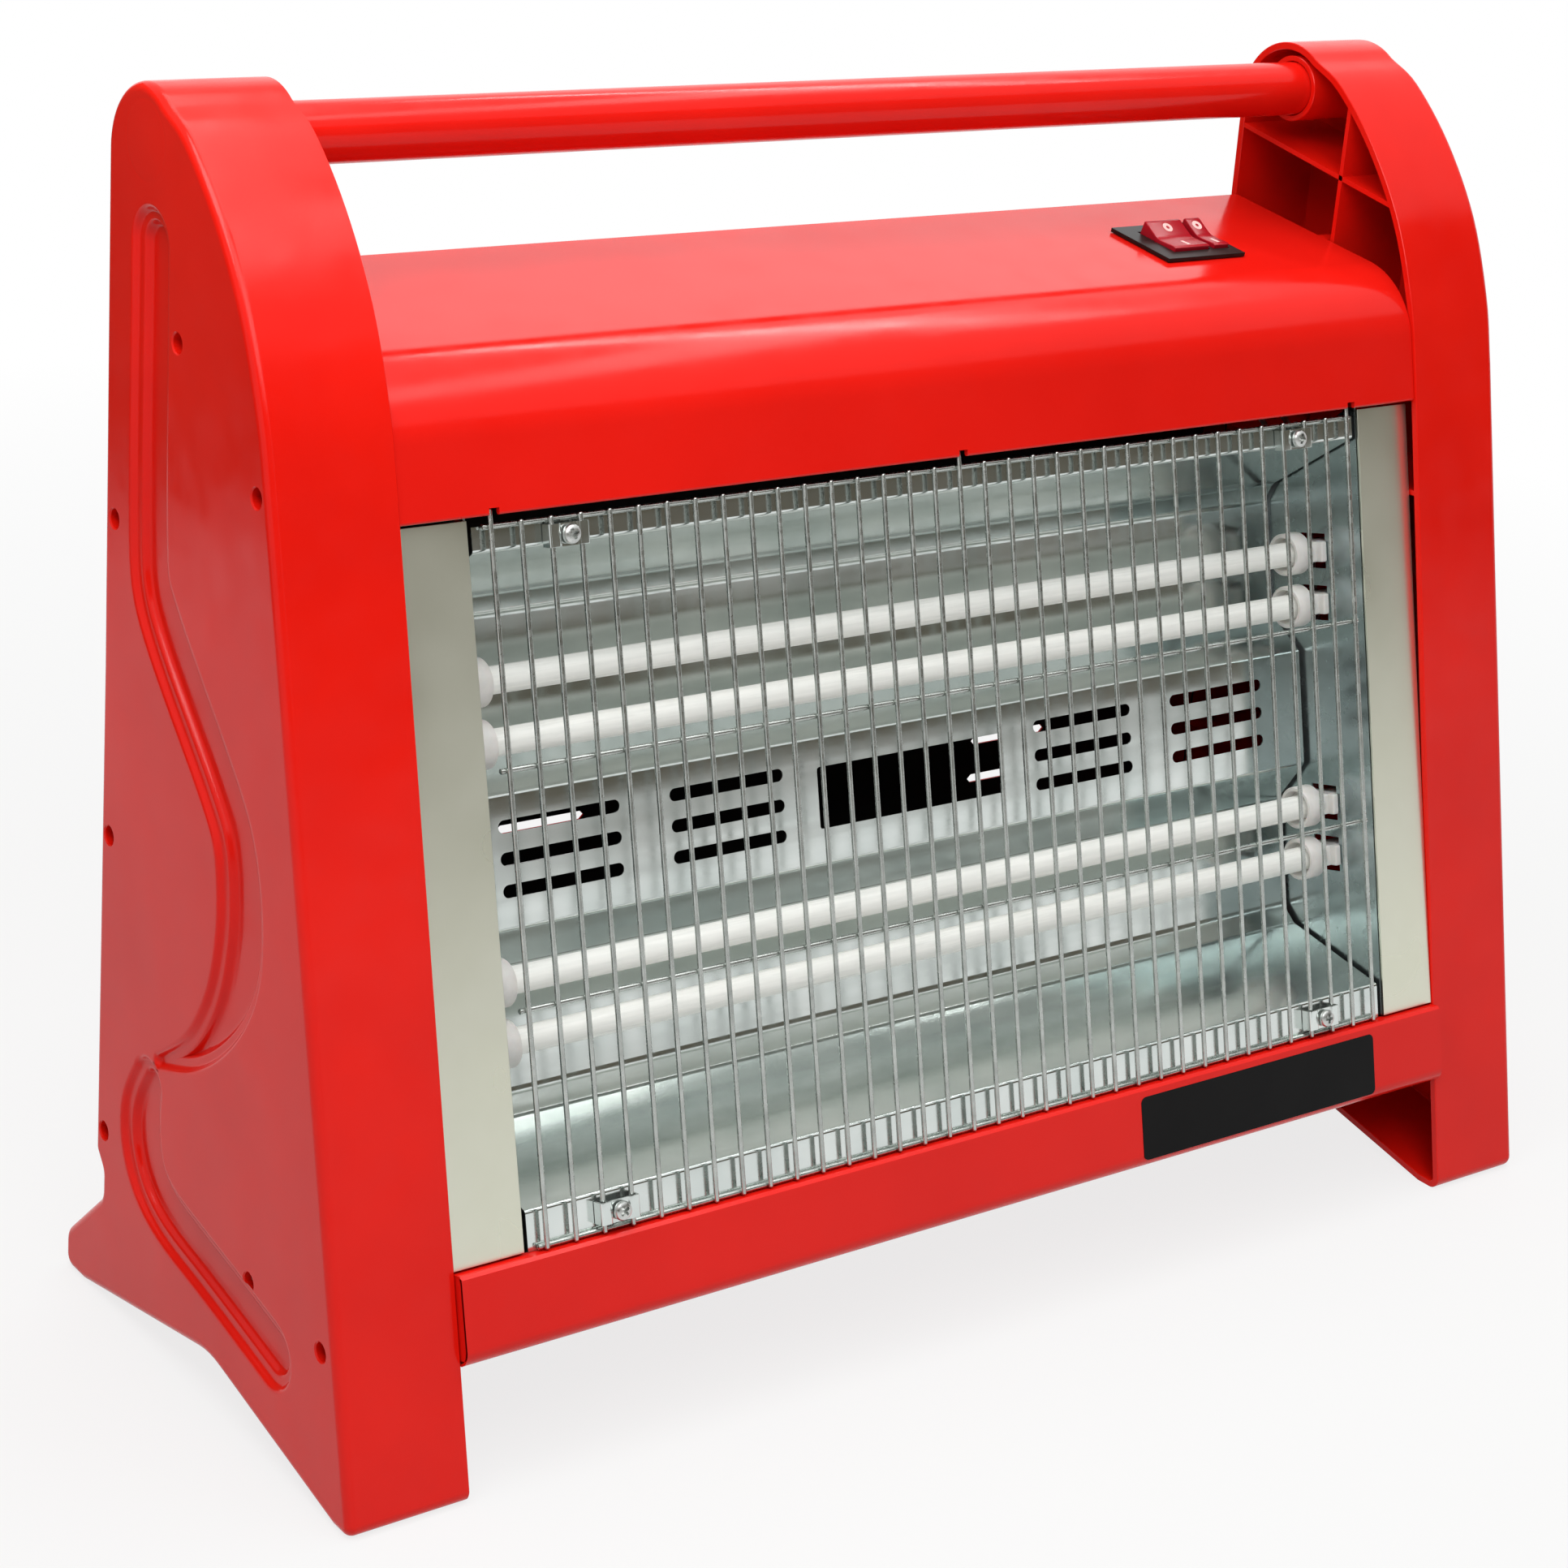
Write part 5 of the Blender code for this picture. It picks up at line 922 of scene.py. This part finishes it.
# A ceramic holder: a ring with a bell-shaped back, both turned, then the flat neck through
# the cheek and its two lugs as blocks with round edges.
def holderPiece(word, k, s):
    h, n = holder, tubes["depth"]
    t = np.linspace(0, 1, 8)[:, None]
    bell = np.hstack([h["ring"] + t * (h["bellEnd"] - h["ring"]), h["bellRadius"]
                      + (h["radius"] - 0.5 - h["bellRadius"]) * (1 - t) ** h["bellPower"]])
    profile = [(h["start"] + x, r) for x, r in h["mouth"]]
    profile += [(h["ring"] - 0.6, h["radius"]), *bell.tolist(), (h["bellEnd"], h["bore"]),
                (h["ring"] - 1.0, h["bore"]), (h["ring"] - 1.0, h["socket"])]
    profile += [(h["start"] + x, r) for x, r in h["throat"]]
    pieces = [newObject("ring", [turnedX(profile, 48, n, s, closed=True)], inFront)]
    lugIn, lugOut = h["cheekIn"] - fit, h["cheekOut"] + fit
    for x0, x1, wide in ((h["ring"] - 0.4, h["neckEnd"], h["neckHalf"]),
                         (lugIn - h["lugLength"], lugIn, h["lugHalf"]),
                         (lugOut, lugOut + h["lugLength"], h["lugHalf"])):
        flat = block(x0, x1, n - wide, n + wide, s - h["neckHigh"], s + h["neckHigh"])
        pieces.append(roundEdged(newObject("flat", [flat], inFront), h["edge"]))
    whole = joined(f"{word}_holder_{k}_fired", pieces)
    if word == "left":
        mirrored(whole)
    finishPiece(whole, "ceramic", f"{word}_holder_{k}", angle=40)


coil = {"end": 197.5, "radius": 2.35, "wire": 0.42, "pitch": 2.4, "tail": 1.4, "tailEnd": 229.5}


# A helix along x: place (pitch a / 2 pi, radius cos a, radius sin a), with a small circle
# round it spanned by its radial direction and the x axis; straight tails at both ends.
def coilPiece(k, s):
    c, n = coil, tubes["depth"]
    turns = 2 * c["end"] / c["pitch"]
    angle = np.linspace(0, 2 * math.pi * turns, int(turns * 12))[:, None]
    ring = circle(c["wire"], 6)
    r = c["radius"] + ring[:, 0]
    grid = asPoints(angle * c["pitch"] / (2 * math.pi) - c["end"] + ring[:, 1],
                    n + r * np.cos(angle), s + r * np.sin(angle))
    tails = [turnedX([(side * (c["end"] - 1), c["tail"]), (side * c["tailEnd"], c["tail"])],
                     16, n, s) for side in (-1, 1)]
    finishPiece(newObject(f"heating_coil_{k}_wound", [gridSurface(grid), *tails], inFront), "coil",
                f"heating_coil_{k}")


for k, s in enumerate(tubes["lifts"]):
    holderPiece("left", k + 1, s)
    holderPiece("right", k + 1, s)
    coilPiece(k + 1, s)
print("heating elements ready")


# The grille in (x, n, s); a wire's tip is (distance from its end, share of its radius).
grille = {"pitch": 12.0, "count": 35, "wire": 0.95, "bar": 1.05, "weld": 0.3, "first": 0.9,
          "spacing": 83.1, "bars": 4, "overhang": 1.4, "barOverhang": 3.0, "hook": 5.0,
          "tip": [(0.0, 0.35), (0.12, 0.7), (0.4, 0.93), (0.8, 1.0)]}


# Upright wires with round tips, three of them longer as hooks, and bars welded behind them.
def grilleNet():
    g = grille
    half = g["count"] // 2
    top = g["first"] + (g["bars"] - 1) * g["spacing"] + g["overhang"]
    bottom = g["first"] - g["overhang"] + fit
    tip, share = np.array(g["tip"]).T
    size = np.concatenate([share, share[::-1]])[:, None]
    unit = circle(g["wire"], 12)
    parts = []
    for k in range(-half, half + 1):
        end = top + (g["hook"] if k in (-half, 0, half) else 0)
        rise = np.concatenate([bottom + tip, end - tip[::-1]])[:, None]
        parts.append(gridSurface(asPoints(k * g["pitch"] + unit[:, 0] * size, unit[:, 1] * size,
                                          rise)))
    r, reachX = g["bar"], half * g["pitch"] + g["barOverhang"]
    profile = [(-reachX, 0.5 * r), (0.3 - reachX, r), (reachX - 0.3, r), (reachX, 0.5 * r)]
    barN = g["wire"] * math.cos(math.pi / 6) + r - g["weld"]
    parts += [turnedX(profile, 12, barN, g["first"] + k * g["spacing"]) for k in range(g["bars"])]
    finishPiece(newObject("grille_wires", parts, inFront), "wire", "grille", angle=50)


grilleNet()
# The two leads keep their CAD shape.
for node in ("upper_lead", "lower_lead"):
    frame["nodes"][node].data.materials.clear()
    frame["nodes"][node].data.materials.append(finishes["sleeve"])
print("grille and leads ready")


# Turns an object's own x, y and z to three directions, and moves it to a place in metres.
def stand(thing, right, up, back, place):
    turn = Matrix([(a, b, c) for a, b, c in zip(right, up, back)]).to_4x4()
    turn.translation = place
    thing.matrix_world = turn


def camera():
    data = bpy.data.cameras.new("camera")
    data.sensor_width = 36.0
    data.lens = 77.860
    data.shift_x, data.shift_y = 0.001249, -0.075764
    thing = linked("camera", data)
    stand(thing, (0.79942, -0.59550, 0.07947), (0.13175, 0.30283, 0.94390),
          (-0.58615, -0.74409, 0.32054), (-0.797753, -0.948027, 0.651351))
    bpy.context.scene.camera = thing


# 1 where the camera, a mirror or glass sees the surface, and 0 where it only lights others.
def seenShare(tree):
    rays = addNode(tree, "ShaderNodeLightPath").outputs
    seen = addNode(tree, "ShaderNodeMath", {0: rays["Is Camera Ray"], 1: rays["Is Glossy Ray"]},
                   operation="MAXIMUM")
    seen = addNode(tree, "ShaderNodeMath", {0: seen.outputs[0], 1: rays["Is Transmission Ray"]},
                   operation="MAXIMUM")
    return seen.outputs[0]


# A flat four-cornered stage piece.
def stageSheet(name, corners, material):
    mesh = bpy.data.meshes.new(name)
    mesh.from_pydata(corners, [], [(0, 1, 2, 3)])
    mesh.materials.append(material)
    thing = linked(name, mesh)
    return thing


# A pale matt floor whose seen colour goes from its own near the heater to white further out.
def floor():
    material = newMaterial("paleFloor", Base_Color=hexColour("#C4C4C2"), Roughness=0.9)
    tree = material.node_tree
    place = addNode(tree, "ShaderNodeTexCoord").outputs["Object"]
    away = addNode(tree, "ShaderNodeVectorMath", {0: place}, operation="LENGTH")
    fade = addNode(tree, "ShaderNodeMapRange", {"Value": away.outputs["Value"], "From Min": 0.5,
                                                "From Max": 1.4, "To Min": 0.8, "To Max": 1.0})
    share = addNode(tree, "ShaderNodeMath", {0: seenShare(tree), 1: fade.outputs[0]},
                    operation="MULTIPLY")
    glow = addNode(tree, "ShaderNodeEmission", {"Color": (1, 1, 1, 1), "Strength": 1.0})
    mix = addNode(tree, "ShaderNodeMixShader", {0: share.outputs[0], 2: glow.outputs[0],
                                                1: tree.nodes["Principled BSDF"].outputs[0]})
    tree.links.new(mix.outputs[0], tree.nodes["Material Output"].inputs["Surface"])
    stageSheet("floor", [(x * 6.0, y * 6.0, 0) for x, y in square], material)


# Grey studio cards out of the picture: two ahead, which the leaning sheets and the wires
# mirror above the horizon, and one behind on the left, which the left panel mirrors above
# the pale floor. Each stands square to its direction from the heater.
def card(name, x, y, half, low, high, material):
    side = np.array((-y, x)) * half / math.hypot(x, y)
    left, right = np.array((x, y)) - side, np.array((x, y)) + side
    thing = stageSheet(name, [(*left, low), (*right, low), (*right, high), (*left, high)],
                       material)
    thing.visible_camera = False
    thing.visible_diffuse = False
    thing.visible_shadow = False


# An area lamp that stands at a place and faces its aim, both in metres.
def lamp(name, place, aim, size, power):
    data = bpy.data.lights.new(name, "AREA")
    data.shape = "RECTANGLE"
    data.size, data.size_y = size
    data.energy = power
    back = np.array(place, float) - np.array(aim, float)
    back /= np.linalg.norm(back)
    right = np.cross((0, 0, 1), back)
    right /= np.linalg.norm(right)
    stand(linked(name, data), right, np.cross(back, right), back, place)


# A white studio that shows at full strength and lights at 0.3 of it.
def world():
    sky = bpy.data.worlds.new("studio")
    bpy.context.scene.world = sky
    sky.use_nodes = True
    tree = sky.node_tree
    background = tree.nodes["Background"]
    strength = addNode(tree, "ShaderNodeMapRange", {"Value": seenShare(tree), "To Min": 0.3,
                                                    "To Max": 1.0})
    background.inputs["Color"].default_value = (1, 1, 1, 1)
    tree.links.new(strength.outputs[0], background.inputs["Strength"])


camera()
floor()
greyCard = newMaterial("greyCard", Base_Color=hexColour("#766C59"), Roughness=0.9)
card("cardRight", 1.89, -2.33, 1.9, 0.3, 2.0, greyCard)
card("cardFront", -1.3, -2.7, 1.5, 0.3, 2.0, greyCard)
card("cardLeft", -0.83, 0.9, 0.9, 0.0, 1.0, greyCard)
world()
lamp("key", (-1.4, -1.8, 2.2), (0, 0, 0.25), (1.6, 1.6), 6)
lamp("near", (-0.4, -0.72, 1.08), (0, 0, 0.3), (0.7, 0.7), 5.5)
lamp("side", (-0.6, -0.1, 0.95), (-0.29, 0, 0.4), (0.35, 0.35), 3)
lamp("top", (0.1, 0.0, 2.2), (0, 0, 0.25), (1.8, 1.2), 24)
lamp("back", (1.35, 1.45, 1.5), (0, 0, 0.4), (1.6, 1.0), 2)
lamp("ridge", (0.9, -0.35, 2.0), (0, 0, 0.3), (2.4, 0.24), 7)
lamp("strip", (1.05, 0.42, 1.75), (0, 0, 0.4), (1.3, 0.06), 4)
bpy.context.scene.view_settings.view_transform = "Standard"
print("stage ready")
